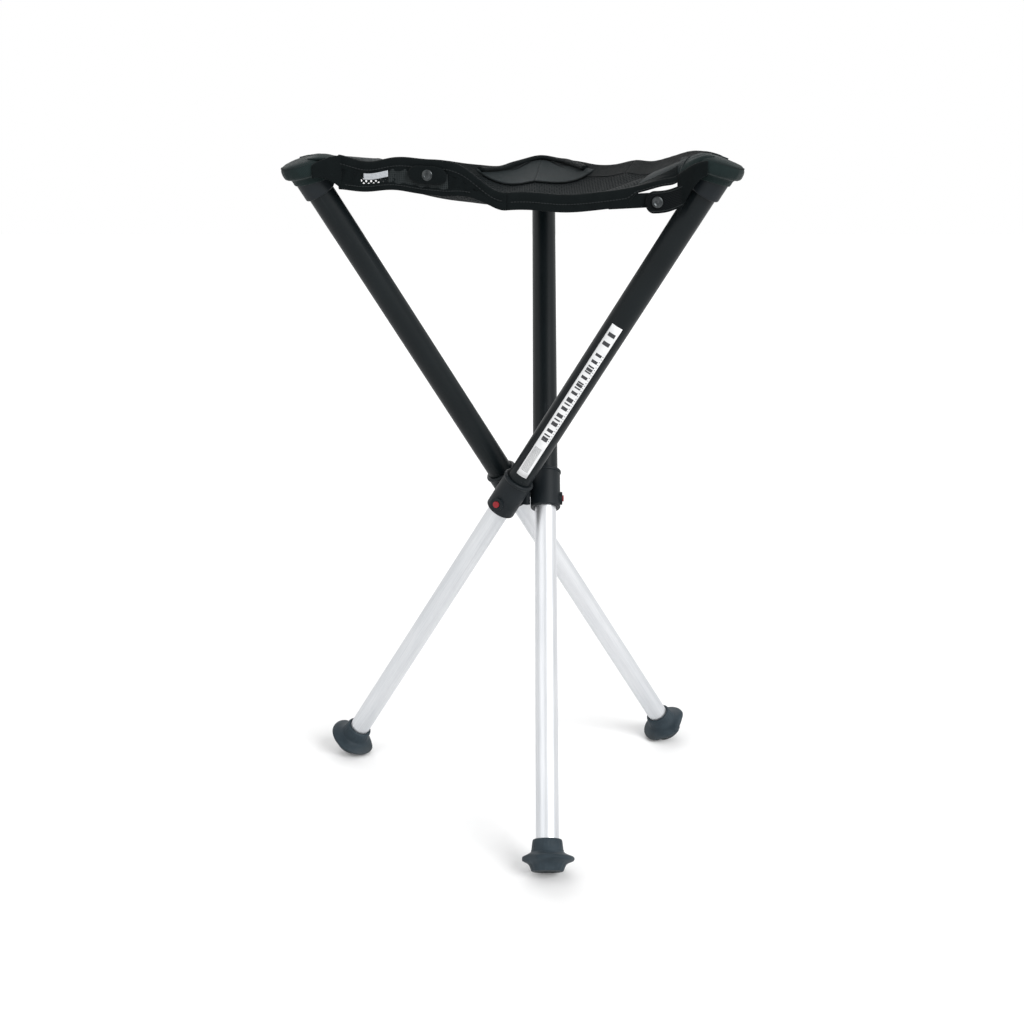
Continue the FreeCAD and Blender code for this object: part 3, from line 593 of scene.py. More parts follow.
def knitted(name, dark, light):
    """The seat's mesh: round knitted strands with a slight fuzz."""
    material, tree, shader = new_material(name, Sheen_Weight=0.02, Sheen_Roughness=0.45,
                                          Specular_IOR_Level=0.02, Roughness=0.66)
    vector = object_vector(tree)
    strands = noise(tree, vector, 1600.0, 3.0)
    patches = noise(tree, vector, 40.0, 3.0)
    tone = math_node(tree, "MULTIPLY", strands, spread(tree, patches, 0.8, 1.5))
    colour(tree, shader, ramp(tree, tone, dark, light, 0.25, 0.8))
    bumped(tree, shader, strands, 0.0002, 0.8)
    return material


def printed_film():
    """The strip's white film, with plain bars and ticks.

    Fine bars lie at its low end, bold bars of two pitches along its middle with short ticks beside them, and
    wide bars at its high end. Lengths are in metres along and across the strip.
    """
    material, tree, shader = new_material("printed_film", Specular_IOR_Level=0.4, Roughness=0.34)
    place = add_node(tree, "SeparateXYZ", {"Vector": uv_vector(tree)})
    along = place.outputs["X"]
    across = place.outputs["Y"]

    def marks(pitch, share, start, end, low, high):
        """Bars of that pitch and share of ink between two places along and two across."""
        phase = math_node(tree, "FRACT", math_node(tree, "DIVIDE", along, pitch))
        inked = math_node(tree, "LESS_THAN", phase, share)
        for value, least, most in ((along, start, end), (across, low, high)):
            inked = math_node(tree, "MULTIPLY", inked, math_node(tree, "GREATER_THAN", value, least))
            inked = math_node(tree, "MULTIPLY", inked, math_node(tree, "LESS_THAN", value, most))
        return inked

    middle = (0.044, 0.150)
    fine = marks(0.0011, 0.45, 0.006, 0.036, 0.0012, LABEL_WIDTH - 0.0022)
    bold = math_node(tree, "MAXIMUM", marks(0.0093, 0.34, *middle, 0.0024, 0.0086),
                     marks(0.0064, 0.26, *middle, 0.0024, 0.0086))
    short = marks(0.0031, 0.25, *middle, 0.0094, 0.0104)
    wide = marks(0.0100, 0.40, 0.158, 0.176, 0.0020, 0.0092)
    ink = math_node(tree, "MAXIMUM", math_node(tree, "MAXIMUM", bold, short),
                    math_node(tree, "MAXIMUM", math_node(tree, "MULTIPLY", fine, 0.85), wide))
    vector = object_vector(tree)
    film = ramp(tree, noise(tree, vector, 90.0, 3.0), (0.66, 0.67, 0.68), (0.78, 0.785, 0.79))
    colour(tree, shader, mix_colours(tree, ink, film, (0.030, 0.032, 0.036)))
    bumped(tree, shader, noise(tree, vector, 700.0, 2.0), 0.00002, 0.4)
    return material


TUBE_COAT = {leg: powder_coat(leg) for leg in LEGS}
TUBE_BRIGHT = {leg: anodised(leg) for leg in LEGS}
BLACK_PLASTIC = moulded("black_plastic", (0.0052, 0.0078, 0.0098), (0.0090, 0.0125, 0.0152))
RED_PLASTIC = moulded("red_plastic", (0.22, 0.016, 0.022), (0.30, 0.026, 0.032), (0.3, 0.4), 700.0)
NYLON = moulded("natural_nylon", (0.62, 0.61, 0.56), (0.72, 0.71, 0.67), (0.4, 0.5), 600.0)
RUBBER = rubber()
STEEL = plated("plated_steel", (0.50, 0.50, 0.51), (0.66, 0.66, 0.67))
DARK_STUD = plated("dark_stud", (0.030, 0.034, 0.036), (0.075, 0.080, 0.082), (0.22, 0.36))
NET = knitted("net_knit", (0.0034, 0.0050, 0.0054), (0.0115, 0.0145, 0.0156))
TAPE = woven("binding_tape", (0.0016, 0.0026, 0.0029), (0.0064, 0.0092, 0.0098), 0.0008, 0.0002, 0.04)
COVER = woven("cover_cloth", (0.0042, 0.0078, 0.0080), (0.0190, 0.0300, 0.0300), 0.0010, 0.0002, 0.12)
PATCH = woven("patch_cloth", (0.0070, 0.0100, 0.0108), (0.0215, 0.0280, 0.0300), 0.0013, 0.00025, 0.06)
LINING = woven("lining_cloth", (0.0080, 0.0105, 0.0110), (0.0320, 0.0375, 0.0385), 0.0018, 0.0003, 0.06)
WEBBING = woven("webbing", (0.0014, 0.0020, 0.0023), (0.0065, 0.0082, 0.0090), 0.0016, 0.0003, 0.03, 0.6)
THREAD = woven("thread", (0.0100, 0.0125, 0.0130), (0.0300, 0.0340, 0.0355), 0.0004, 0.0001, 0.05, 0.5)
TAG_CLOTH = woven("tag_cloth", (0.22, 0.24, 0.26), (0.58, 0.60, 0.62), 0.0012, 0.0002, 0.1)
FILM = printed_film()

NODE_FINISH = (
    ("joint_sleeve_", BLACK_PLASTIC), ("end_cap_", BLACK_PLASTIC), ("hub_top", BLACK_PLASTIC),
    ("hub_bottom", BLACK_PLASTIC), ("hub_screw", STEEL), ("hub_nut", STEEL), ("snap_clip_", STEEL),
    ("guide_bush_", NYLON), ("top_bush_", NYLON), ("foot_plug_", NYLON), ("release_button_", RED_PLASTIC),
)
for leg in LEGS:
    NODE_FINISH += (("upper_tube_" + leg, TUBE_COAT[leg]), ("lower_tube_" + leg, TUBE_BRIGHT[leg]))
for node_name, node in frame["nodes"].items():
    for start, material in NODE_FINISH:
        if node_name.startswith(start):
            node.data.materials.clear()
            node.data.materials.append(material)


# Threads, studs and nets

def stitches(name, points, outwards, body, length=0.0024, thick=0.0005):
    """A row of stitches at every point of a line but its last: rounded bars along it, half sunk in the cloth.

    Each bar is rings of six points, drawn in at both ends.
    """
    run = unit(np.diff(points, axis=0))
    out = np.broadcast_to(outwards, points.shape)[:-1]
    beside = unit(np.cross(run, out))
    out = np.cross(beside, run)
    ends = np.array([(-0.5, 0.0), (-0.42, 0.7), (-0.15, 1.0), (0.15, 1.0), (0.42, 0.7), (0.5, 0.0)])
    angles = np.arange(6) * math.pi / 3
    rings = (points[:-1, None, None, :] + run[:, None, None, :] * (ends[:, 0] * length)[None, :, None, None]
             + (out[:, None, None, :] * np.cos(angles)[None, None, :, None] * 0.8
                + beside[:, None, None, :] * np.sin(angles)[None, None, :, None])
             * (ends[:, 1] * thick)[None, :, None, None])
    rows, columns = grid_faces(len(ends), 6, False, True)
    faces = (rows * 6 + columns % 6)[:, ::-1]
    count = len(rings)
    faces = (faces[None, :, :] + (np.arange(count) * len(ends) * 6)[:, None, None]).reshape(-1, 4)
    corner_uv = np.stack([rows * length / 5, columns * thick], -1)[:, ::-1]
    corner_uv = np.broadcast_to(corner_uv, (count, *corner_uv.shape)).reshape(-1, 4, 2)
    obj = mesh_object(name, rings.reshape(-1, 3), faces, corner_uv, merge=False)
    return dress(obj, body, THREAD)


def net_mesh(low, high, pitch, tilt, hole, keep):
    """A flat net: square cells on a turned lattice between two corners, each with an eight-sided hole.

    It returns the points in the plane, the faces, the number of the cell of each face, and the cells'
    middles. Neighbouring cells share the points of their sides.
    """
    reach = int(np.linalg.norm(np.subtract(high, low)) / pitch) + 2
    across, along = np.meshgrid(np.arange(-reach, reach + 1), np.arange(-reach, reach + 1), indexing="ij")
    cells = np.column_stack([across.ravel(), along.ravel()])
    turn = np.array([[math.cos(tilt), math.sin(tilt)], [-math.sin(tilt), math.cos(tilt)]])
    middle = (np.asarray(low) + np.asarray(high)) / 2
    centres = cells * pitch @ turn + middle
    inside = ((centres > low) & (centres < high)).all(1)
    inside[inside] = keep(centres[inside])
    cells, centres = cells[inside], centres[inside]
    ring = np.array([(1, -1), (1, 0), (1, 1), (0, 1), (-1, 1), (-1, 0), (-1, -1), (0, -1)])
    keys = (2 * cells[:, None, :] + ring[None, :, :]).reshape(-1, 2)
    unique, index = np.unique(keys, axis=0, return_inverse=True)
    index = index.reshape(len(cells), 8)
    outer = unique * (pitch / 2) @ turn + middle
    angles = np.arctan2(ring[:, 1], ring[:, 0])
    hole_ring = np.column_stack([np.cos(angles), np.sin(angles)]) * hole / 2 @ turn
    inner = (centres[:, None, :] + hole_ring[None, :, :]).reshape(-1, 2)
    inner_index = len(outer) + np.arange(len(cells) * 8).reshape(-1, 8)
    after = np.roll(np.arange(8), -1)
    faces = np.stack([index, index[:, after], inner_index[:, after], inner_index], -1).reshape(-1, 4)
    return np.concatenate([outer, inner]), faces, np.repeat(np.arange(len(cells)), 8), centres


def press_stud(name, centre, out, body, node_name):
    """A press stud's cap, turned: a dished middle, a raised ring and a rolled rim."""
    profile = ((0.0, 1.9), (1.2, 1.85), (2.0, 1.7), (2.5, 1.95), (3.1, 2.35), (3.9, 2.45), (4.6, 2.1),
               (5.1, 1.3), (5.2, 0.6), (4.9, 0.05), (0.0, 0.0))
    grid = turned(profile, 40)
    side = unit(np.cross(UP, out))
    points = centre + grid[..., :1] * side + grid[..., 1:2] * np.cross(out, side) + grid[..., 2:] * out
    obj = surface(name, points, wrap_columns=True, closed=True)
    dress(obj, body, DARK_STUD)
    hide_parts(node_name)


# The seat: nets, corner patches, bindings and corner folds

NET_PITCH = 0.0036
NET_HOLE = 0.00198
NET_THICK = 0.0012
NET_START = 0.02
NET_EDGE_SHARE = 0.92
TAPE_REACH = 0.0045
TAPE_OVER_NET = 0.003
WINDOW_PITCH = 0.0032
WINDOW_HOLE = 0.0021
STITCH_OUT = 3.25 * MM

# Where bindings, patches and folds start along a half edge or a panel, and where patches end
EDGE_START = 0.012
STEEP_START = 0.035
PATCH_START = 0.004
PATCH_END = {"a": 0.20, "b": 0.37, "c": 0.20}
FOLD_START = 0.030
REAR_ROLL = {-1: 0.50, 1: 0.42}

# In mm: the tape's flap on the cloth, and the depth of the corner folds at the seat and at the hood
FRONT_FLAP = 8.0
REAR_FLAP = 12.0
FOLD_DEPTH = {LEFT_FRONT: 26.4, RIGHT_FRONT: 34.0}
FOLD_DEPTH_PLAIN = 12.0
FOLD_DEPTH_HOOD = 11.0

# The tab, the band's end and the tag: places along the front's half edges, and heights or drops in metres
TAB_ALONG = 0.545
TAB_DROP = 10.5 * MM
TAB_HALF_LENGTH = 16.5 * MM
TAB_HALF_WIDTH = 8.4 * MM
BAND_END_ALONG = (0.17, 0.42)
BAND_END_HIGH = 0.6072
BAND_END_FALL = 0.002
TAG_ALONG = (0.165, 0.31)
TAG_DROP = 7.4 * MM
TAG_WIDTH = 5.4 * MM
LINING_END = 0.66


def panel_name(leg, mark):
    """The body of the panel on that side of a corner."""
    return "panel_" + leg + "_" + mark


def seat_nets():
    """The seat's mesh as one net over its plan, shared out to the six panels by each cell's middle."""
    reach = max(SEAT[leg][1] for leg in LEGS)

    def keep(plan):
        nearest, side, along, across = seat_place(plan)
        width = (1 - along) * CORNER_HALF + along * EDGE_REACH * NET_EDGE_SHARE
        front = np.zeros(len(plan), bool)
        for leg, turn_side in (LEFT_FRONT, RIGHT_FRONT):
            front |= (nearest == LEGS.index(leg)) & (side == turn_side)
        tape = np.where(front, TAPE_REACH, REAR_FLAP * MM - TAPE_OVER_NET)
        return (along > NET_START) & (across < 1 - tape / width)

    plan, faces, cell, centres = net_mesh((-reach, -reach), (reach, reach), NET_PITCH, math.pi / 4,
                                          NET_HOLE, keep)
    points = seat_surface(plan)
    nearest, side, _, _ = seat_place(centres)
    nets = {}
    for index, leg in enumerate(LEGS):
        for mark, turn_side in SIDES:
            chosen = faces[((nearest == index) & (side == turn_side))[cell]]
            used, renumbered = np.unique(chosen, return_inverse=True)
            obj = mesh_object("seat_net_" + leg + "_" + mark, points[used], renumbered.reshape(-1, 4),
                              merge=False)
            add_wall(obj, NET_THICK, -1.0)
            dress(obj, panel_name(leg, mark), NET)
            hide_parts("seat_panel_" + leg + "_" + mark)
            nets[(leg, mark)] = obj
    return nets


def tape_section(depth, reach):
    """The folded tape's outline in mm: a flap on the cloth, a roll at the edge and a part that hangs down."""
    inner = -np.minimum(2.0, depth * 0.5)
    rows = [(-reach, 0.9), (-reach * 0.7, 1.7), (-reach * 0.35, 2.3), (-1.6, 3.0), (-0.2, 3.3), (1.6, 3.0),
            (2.9, 1.2), (3.2, -depth * 0.30), (2.9, -depth * 0.72), (2.8, -depth + 0.3), (2.0, -depth - 0.2),
            (1.0, -depth), (0.6, -depth * 0.75), (0.3, -depth * 0.5), (-2.0, inner),
            (-reach * 0.6, inner), (-reach, inner * 0.8)]
    outwards = np.stack([np.broadcast_to(o, depth.shape) for o, _ in rows], -1)
    rise = np.stack([np.broadcast_to(h, depth.shape) for _, h in rows], -1)
    loop = rounded_loop(np.stack([outwards, rise], -1), 1) * MM
    return loop[..., 0], loop[..., 1]


def band_depth(leg, side, along):
    """How far an edge's binding hangs, in mm: a thin hem at the front gap, a top tape where a net hangs."""
    depth = np.full_like(along, BAND_DEPTH / MM)
    if (leg, side) == RIGHT_FRONT:
        hem = 3.0
        depth = hem + (depth - hem) * smooth_step(along, FRONT_GAP_END - 0.03, FRONT_GAP_END + 0.05)
    if (leg, side) == LEFT_FRONT:
        depth = np.full_like(along, TOP_TAPE_DEPTH / MM)
    return depth


def front_depth(along):
    """Depth in metres of the band at the front's left half.

    It is deep from the corner on and shallow by the middle, and two bumps lift it in between.
    """
    deep = 1.0 - smooth_step(along, 0.62, 0.93)
    lift = 5.2 * bump(along, 0.21, 0.17) + 0.8 * bump(along, 0.5, 0.2)
    return BAND_DEPTH + (BAND_CORNER_DEPTH - BAND_DEPTH) * deep - lift * MM


def edge_bindings():
    """The tape folded over each half edge, with its rows of stitches."""
    pieces = {}
    for leg, mark, side in PANELS:
        name, body = leg + "_" + mark, panel_name(leg, mark)
        start = STEEP_START if (leg, side) == RIGHT_FRONT else EDGE_START
        along = np.linspace(start, 1.0, 72)
        reach = FRONT_FLAP if EDGE_OF[(leg, side)] == "front" else REAR_FLAP
        outwards, rise = tape_section(band_depth(leg, side, along), reach)
        crimp = 0.22 * MM * np.sin(along * 61.0 + ord(leg) + side)[:, None]
        binding = swept("edge_binding_" + name, edge_grid(leg, side, along, outwards + crimp, rise))
        dress(binding, body, TAPE)
        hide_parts("edge_band_" + name)
        sewn = np.linspace(start + 0.02, 0.985, 56)
        drop = np.minimum(0.5 * band_depth(leg, side, sewn), 5.5)
        line = edge_points(leg, side, sewn, STITCH_OUT, -drop * MM)
        row = stitches("edge_stitches_" + name, line, edge_frame(leg, side)[1], body)
        inset, lift = 1.6, 1.55 * MM
        line = edge_points(leg, side, sewn, (inset - reach) * MM, lift)
        flap_row = stitches("flap_stitches_" + name, line, UP, body)
        pieces[(leg, mark)] = [binding, row, flap_row]
    return pieces


def patch_end(leg, across):
    """The place along a panel where the corner's patch ends, on a straight line in plan."""
    reach = SEAT[leg][1]
    return PATCH_END[leg] * reach / (reach - across * MIDDLE_ALONG)


def roll_along(name, line, half, height, body):
    """A soft roll of tape along a line, with its half width and its height there, or one for all of it."""
    run = unit(np.gradient(line, axis=0))
    beside = unit(np.cross(run, UP))
    up = np.cross(beside, run)
    section = rounded_loop([(-1.0, -0.3), (-0.75, 0.55), (0.0, 1.0), (0.75, 0.55), (1.0, -0.3), (0.0, -0.8)])
    half, height = (np.broadcast_to(size, len(line))[:, None, None] for size in (half, height))
    points = (line[:, None, :] + beside[:, None, :] * section[None, :, :1] * half
              + up[:, None, :] * section[None, :, 1:] * height)
    return dress(swept(name, points), body, TAPE)


def corner_patches():
    """The close-woven patches at the seat's corners, on top of the net, each ended with a narrow piping.

    At the rear corner a roll also arches out over each patch: across as a sine that stays at its top, along
    as a power of the way.
    """
    pieces = {}
    for leg, mark, side in PANELS:
        name, body = leg + "_" + mark, panel_name(leg, mark)
        across = np.linspace(0.0, 0.95, 20)[None, :]
        share = np.linspace(0.0, 1.0, 30)[:, None]
        along = PATCH_START + share * (patch_end(leg, across) - PATCH_START)
        lift, thick = 1.1 * MM, 0.9 * MM
        grid = seat_point(leg, side, along, across, lift)
        if side > 0:
            grid = grid[:, ::-1]
        patch = surface("corner_patch_" + name, grid, thick=thick)
        dress(patch, body, PATCH)
        share = np.linspace(0.0, 0.93, 24)
        line = seat_point(leg, side, patch_end(leg, share), share, thick)
        half, height = 1.9 * MM, 1.4 * MM
        piping = roll_along("patch_piping_" + name, line, half, height, body)
        sewn = np.linspace(0.03, 0.9, 26)
        before_end, seam_lift = 0.022, 1.35 * MM
        seam = seat_point(leg, side, patch_end(leg, sewn) - before_end, sewn, seam_lift)
        row = stitches("patch_stitches_" + name, seam, UP, body)
        pieces[(leg, mark)] = [patch, piping, row]
        if leg == "b":
            share = np.linspace(0.0, 1.0, 48)
            out_by = 0.62
            across = 0.93 * np.sin(np.minimum(share / out_by, 1.0) * math.pi / 2)
            along = PATCH_START + REAR_ROLL[side] * share ** 2.2
            lift = 1.8 * MM
            line = seat_point(leg, side, along, across, lift)
            line[:, 2] += lift * (1 - share)
            half, height = (4.4 + 1.2 * share) * MM, (3.3 + 0.6 * share) * MM
            pieces[(leg, mark)].append(roll_along("rear_roll_" + mark, line, half, height, body))
    return pieces


def hood_angle(leg):
    """The direction, in the leg's frame, from the leg's top to the seat's corner."""
    x, y, _ = off_leg(leg, SEAT[leg][0])
    return math.atan2(y, x)


def hood_reach(turn, angles):
    """The hood's radius at an angle: wide towards the seat, narrower outwards, and cut by the two flats."""
    share = 0.5 + 0.5 * np.cos(angles - turn)
    return soft_min(HOOD_OUTER_RADIUS + (HOOD_RADIUS - HOOD_OUTER_RADIUS) * share, flat_limit(turn, angles))


def hood_points(leg, angles, radius, height):
    """Points of the slanted hood: the height counts from its base plane, which rises away from the seat."""
    turn = hood_angle(leg)
    angles, radius, height = np.broadcast_arrays(angles, radius, height)
    lift = HOOD_BASE - HOOD_SLANT * radius * np.cos(angles - turn)
    return on_leg(leg, np.stack([radius * np.cos(angles), radius * np.sin(angles), lift + height], -1))


def hood_sweep(leg, side, share, most):
    """Angles on the hood, from the seat's corner at share 0 to most degrees towards one of the edges at 1."""
    facing = off_leg(leg, seat_point(leg, side, 0.0, 1.0))
    turn = hood_angle(leg)
    step = (math.atan2(facing[1], facing[0]) - turn + math.pi) % (2 * math.pi) - math.pi
    return turn + math.copysign(math.radians(most), step) * share


def bent_line(start, over, end, share):
    """A quadratic curve from the start to the end, drawn towards a point over its middle."""
    return start * (1 - share) ** 2 + over * 2 * share * (1 - share) + end * share ** 2


def corner_web(leg, mark, side):
    """The cloth between the seat's corner and the hood: such curves, with small folds as crossed sines."""
    across = np.linspace(0.0, 1.0, 20)
    share = np.linspace(0.0, 1.0, 20)[:, None, None]
    angles = hood_sweep(leg, side, across, 74.0)
    reach = hood_reach(hood_angle(leg), angles)
    lift, rim_height, top_height = 1.0 * MM, 15.5 * MM, 16.2 * MM
    near = seat_point(leg, side, FOLD_START, across, lift)
    middle = hood_points(leg, angles, reach + 0.5 * MM, rim_height)
    far = hood_points(leg, angles, reach * 0.55, top_height)
    grid = bent_line(near, middle, far, share)
    folds = np.sin(across * 21.0 + ord(leg))[None, :] * np.sin(share[..., 0] * math.pi)
    grid[..., 2] += folds * 0.5 * MM
    if side < 0:
        grid = grid[:, ::-1]
    web = surface("corner_web_" + leg + "_" + mark, grid, thick=1.6 * MM, offset=0.0)
    dress(web, None, COVER)
    panel_name(leg, mark)
    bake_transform(web)


def corner_fold(leg, mark, side):
    """The binding's last stretch, a folded tape along such a curve from the edge's start to the hood.

    Its depth changes as a power of the way, its outline shrinks a little, and a sine along it creases it.
    """
    out = edge_frame(leg, side)[1]
    share = np.linspace(0.0, 1.0, 20)
    start = STEEP_START if (leg, side) == RIGHT_FRONT else FOLD_START
    depth = FOLD_DEPTH.get((leg, side), FOLD_DEPTH_PLAIN)
    depth = FOLD_DEPTH_HOOD + (depth - FOLD_DEPTH_HOOD) * (1 - share) ** 1.5
    outwards, rise = tape_section(depth, 6.0)
    crease = np.sin(share[:, None] * 9.0 + rise * 0.35 + ord(leg)) * np.sin(share * math.pi)[:, None]
    outwards = outwards + 0.8 * MM * crease
    edge = seat_point(leg, side, start, 1.0)
    angle = hood_sweep(leg, side, 1.0, 88.0)
    side_height, inset = 9.5 * MM, 1.5 * MM
    hold = hood_points(leg, angle, hood_reach(hood_angle(leg), angle), side_height) - out * inset
    over = (edge + hold) / 2 + out * 3.0 * MM
    over[2] = max(edge[2], hold[2]) - 0.8 * MM
    centre = bent_line(edge, over, hold, share[:, None])
    squeeze = (1 - 0.15 * share)[:, None, None]
    points = centre[:, None, :] + (out * outwards[..., None] + UP * rise[..., None]) * squeeze
    fold = swept("corner_fold_" + leg + "_" + mark, points)
    dress(fold, None, TAPE)
    panel_name(leg, mark)
    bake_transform(fold)


def front_net():
    """The front edge's left half: a net window between close cloths, and the tape along its foot."""
    (leg, side), body = LEFT_FRONT, panel_name("c", "right")
    length = edge_length(leg, side)

    def keep(places):
        along = places[:, 0] / length
        covered = 0.03
        window = (along > WINDOW_START - covered) & (along < WINDOW_END + covered)
        top = TOP_TAPE_DEPTH - TAPE_OVER_NET
        low = front_depth(along) - LOW_TAPE_DEPTH + 0.002
        return window & (places[:, 1] > top) & (places[:, 1] < low)

    places, faces, _, _ = net_mesh((0.0, 0.0), (length, BAND_CORNER_DEPTH), WINDOW_PITCH, math.pi / 4,
                                   WINDOW_HOLE, keep)
    along = np.clip(places[:, 0] / length, 0.0, 1.0)
    points = edge_points(leg, side, along, 1.9 * MM, -places[:, 1])
    net = mesh_object("front_net", points, faces[:, ::-1], merge=False)
    add_wall(net, 0.8 * MM, 0.0)
    dress(net, body, NET)
    pieces = [net]
    for name, start, end, material in (("front_corner_cloth", EDGE_START, WINDOW_START, TAPE),
                                       ("front_lining", WINDOW_END, LINING_END, LINING),
                                       ("front_inner_cloth", LINING_END, 0.95, TAPE)):
        along = np.linspace(start, end, 40)
        share = np.linspace(0.0, 1.0, 16)[None, :]
        top = TOP_TAPE_DEPTH - 0.004
        least = 0.001
        low = np.maximum(front_depth(along) - 0.003, top + least)[:, None]
        depth = top + (low - top) * share
        folds = 0.7 * MM * np.sin(along[:, None] * 95.0 + share * 5.0) * np.sin(share * math.pi)
        grid = edge_grid(leg, side, along, 2.1 * MM + folds, -depth)
        cloth = surface(name, grid, thick=0.9 * MM, offset=0.0)
        dress(cloth, body, material)
        pieces.append(cloth)
    along = np.linspace(EDGE_START, 1.0, 64)
    low = front_depth(along)[:, None]
    corners = ((0.2, 0.0), (0.6, 6.2), (1.8, 6.8), (3.0, 6.0), (3.4, 3.0), (3.0, 0.3), (1.6, -0.5))
    section = rounded_loop(corners, 1)
    wave = 0.3 * MM * np.sin(along * 47.0)[:, None]
    tape = swept("front_tape", edge_grid(leg, side, along, section[None, :, 0] * MM + wave,
                                         section[None, :, 1] * MM - low))
    dress(tape, body, TAPE)
    sewn = np.linspace(0.06, 0.8, 46)
    line = edge_points(leg, side, sewn, 3.5 * MM, 4.2 * MM - front_depth(sewn))
    row = stitches("front_tape_stitches", line, edge_frame(leg, side)[1], body)
    return pieces + [tape, row]


def strap_points(along, outwards, rise):
    """Points on the strap, whose middle falls in a slightly waved line. The rise is across it."""
    along, outwards, rise = np.broadcast_arrays(along, outwards, rise)
    edge = seat_point(*RIGHT_FRONT, along, 1.0)
    edge[..., 2] = STRAP_HIGH - STRAP_FALL * along - 0.002 * np.sin(along * 18.0)
    return edge + edge_frame(*RIGHT_FRONT)[1] * outwards[..., None] + UP * rise[..., None]


def closure_strap():
    """The strap from the right front corner, with an elliptic end, two rows of stitches and its stud."""
    body, out = panel_name("a", "left"), edge_frame(*RIGHT_FRONT)[1]
    along = np.linspace(0.0, STRAP_END, 46)[:, None]
    rounding = 0.05
    end = np.clip((along - STRAP_END + rounding) / rounding, 0.0, 1.0)
    half = STRAP_HALF * np.sqrt(np.maximum(1 - end ** 2, 0.004))
    rows = np.linspace(-1.0, 1.0, 11)[None, :]
    outwards = STRAP_OFF + (0.35 * np.sin(along * 40.0) + 0.25 * rows ** 2) * MM
    strap = surface("webbing_strap", strap_points(along, outwards, -half * rows), thick=1.7 * MM, offset=1.0)
    dress(strap, body, WEBBING)
    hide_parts("closure_strap")
    outside = STRAP_OFF + 2.0 * MM
    sewn = np.linspace(0.005, STRAP_END - 0.035, 26)
    for mark, row in (("upper", 0.8), ("lower", -0.8)):
        line = strap_points(sewn, outside, STRAP_HALF * row)
        stitches("strap_stitches_" + mark, line, out, body, length=0.0026, thick=0.0004)
    stud_at = strap_points(STRAP_STUD, STRAP_OFF + 1.9 * MM, 0.0)
    press_stud("strap_press_stud", stud_at, out, body, "strap_stud")
    return strap


def leaf_tab():
    """The leaf-shaped tab on the front band, with a round of stitches and its stud.

    Its outline is an ellipse whose radius has two cosines added. It is puffed, less towards its rim by the
    fourth power of the share of the radius.
    """
    body, out = panel_name("c", "right"), edge_frame(*LEFT_FRONT)[1]
    length = edge_length(*LEFT_FRONT)
    angles = np.linspace(0.0, 2 * math.pi, 56, endpoint=False)
    shape = 1.0 + 0.10 * np.cos(2 * angles) - 0.05 * np.cos(4 * angles)

    def leaf(share, outwards):
        along = TAB_ALONG + share * shape * TAB_HALF_LENGTH * np.cos(angles) / length
        drop = TAB_DROP + share * shape * TAB_HALF_WIDTH * np.sin(angles)
        return edge_points(*LEFT_FRONT, along, outwards, -drop)

    rings = np.linspace(0.0, 1.0, 9)[:, None]
    puffed = leaf(rings, BAND_THICK + (1.3 + 1.1 * (1 - rings ** 4)) * MM)
    tab = surface("leaf_tab", puffed, wrap_columns=True, thick=1.5 * MM, offset=-1.0)
    dress(tab, body, TAPE)
    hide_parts("stud_tab")
    line = leaf(0.84, BAND_THICK + 1.95 * MM)
    stitches("tab_stitches", line, out, body, length=0.0013, thick=0.0004)
    stud_at = edge_points(*LEFT_FRONT, TAB_ALONG, BAND_THICK + 2.3 * MM, -TAB_DROP)
    press_stud("tab_press_stud", stud_at, out, body, "tab_stud")
    return tab


def band_end():
    """The band's end beside the strap: a narrow tape along the front's right half, swollen by a sine."""
    start, end = BAND_END_ALONG
    along = np.linspace(start, end, 30)
    rows = np.linspace(-1.0, 1.0, 9)[None, :]
    line = seat_point(*RIGHT_FRONT, along, 1.0)
    line[:, 2] = BAND_END_HIGH - BAND_END_FALL * (along - start) / (end - start)
    swell = (1.4 + 0.4 * np.sin(along * 60.0))[:, None] - 0.3 * rows ** 2
    points = (line[:, None, :] + edge_frame(*RIGHT_FRONT)[1] * (swell * MM)[..., None]
              + UP * (rows * -BAND_END_HALF)[..., None])
    return dress(surface("band_end", points, thick=1.6 * MM, offset=0.0), panel_name("a", "left"), TAPE)


def woven_tag():
    """The blank tag sewn on the front band, waved a little by a sine."""
    along = np.linspace(*TAG_ALONG, 20)[:, None]
    drop = TAG_DROP + TAG_WIDTH * np.linspace(0.0, 1.0, 7)[None, :]
    outwards = BAND_THICK + (0.75 + 0.12 * np.sin(along * 90.0)) * MM
    tag = surface("woven_tag", edge_points(*LEFT_FRONT, along, outwards, -drop), thick=0.5 * MM, offset=0.0)
    dress(tag, panel_name("c", "right"), TAG_CLOTH)
    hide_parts("sewn_tag")
    return tag


nets = seat_nets()
bindings = edge_bindings()
patches = corner_patches()
for leg, mark, side in PANELS:
    corner_web(leg, mark, side)
    corner_fold(leg, mark, side)
front_pieces = front_net()
strap, tab, strap_band, tag = closure_strap(), leaf_tab(), band_end(), woven_tag()


# Hoods, feet, sleeves' lips and the strip

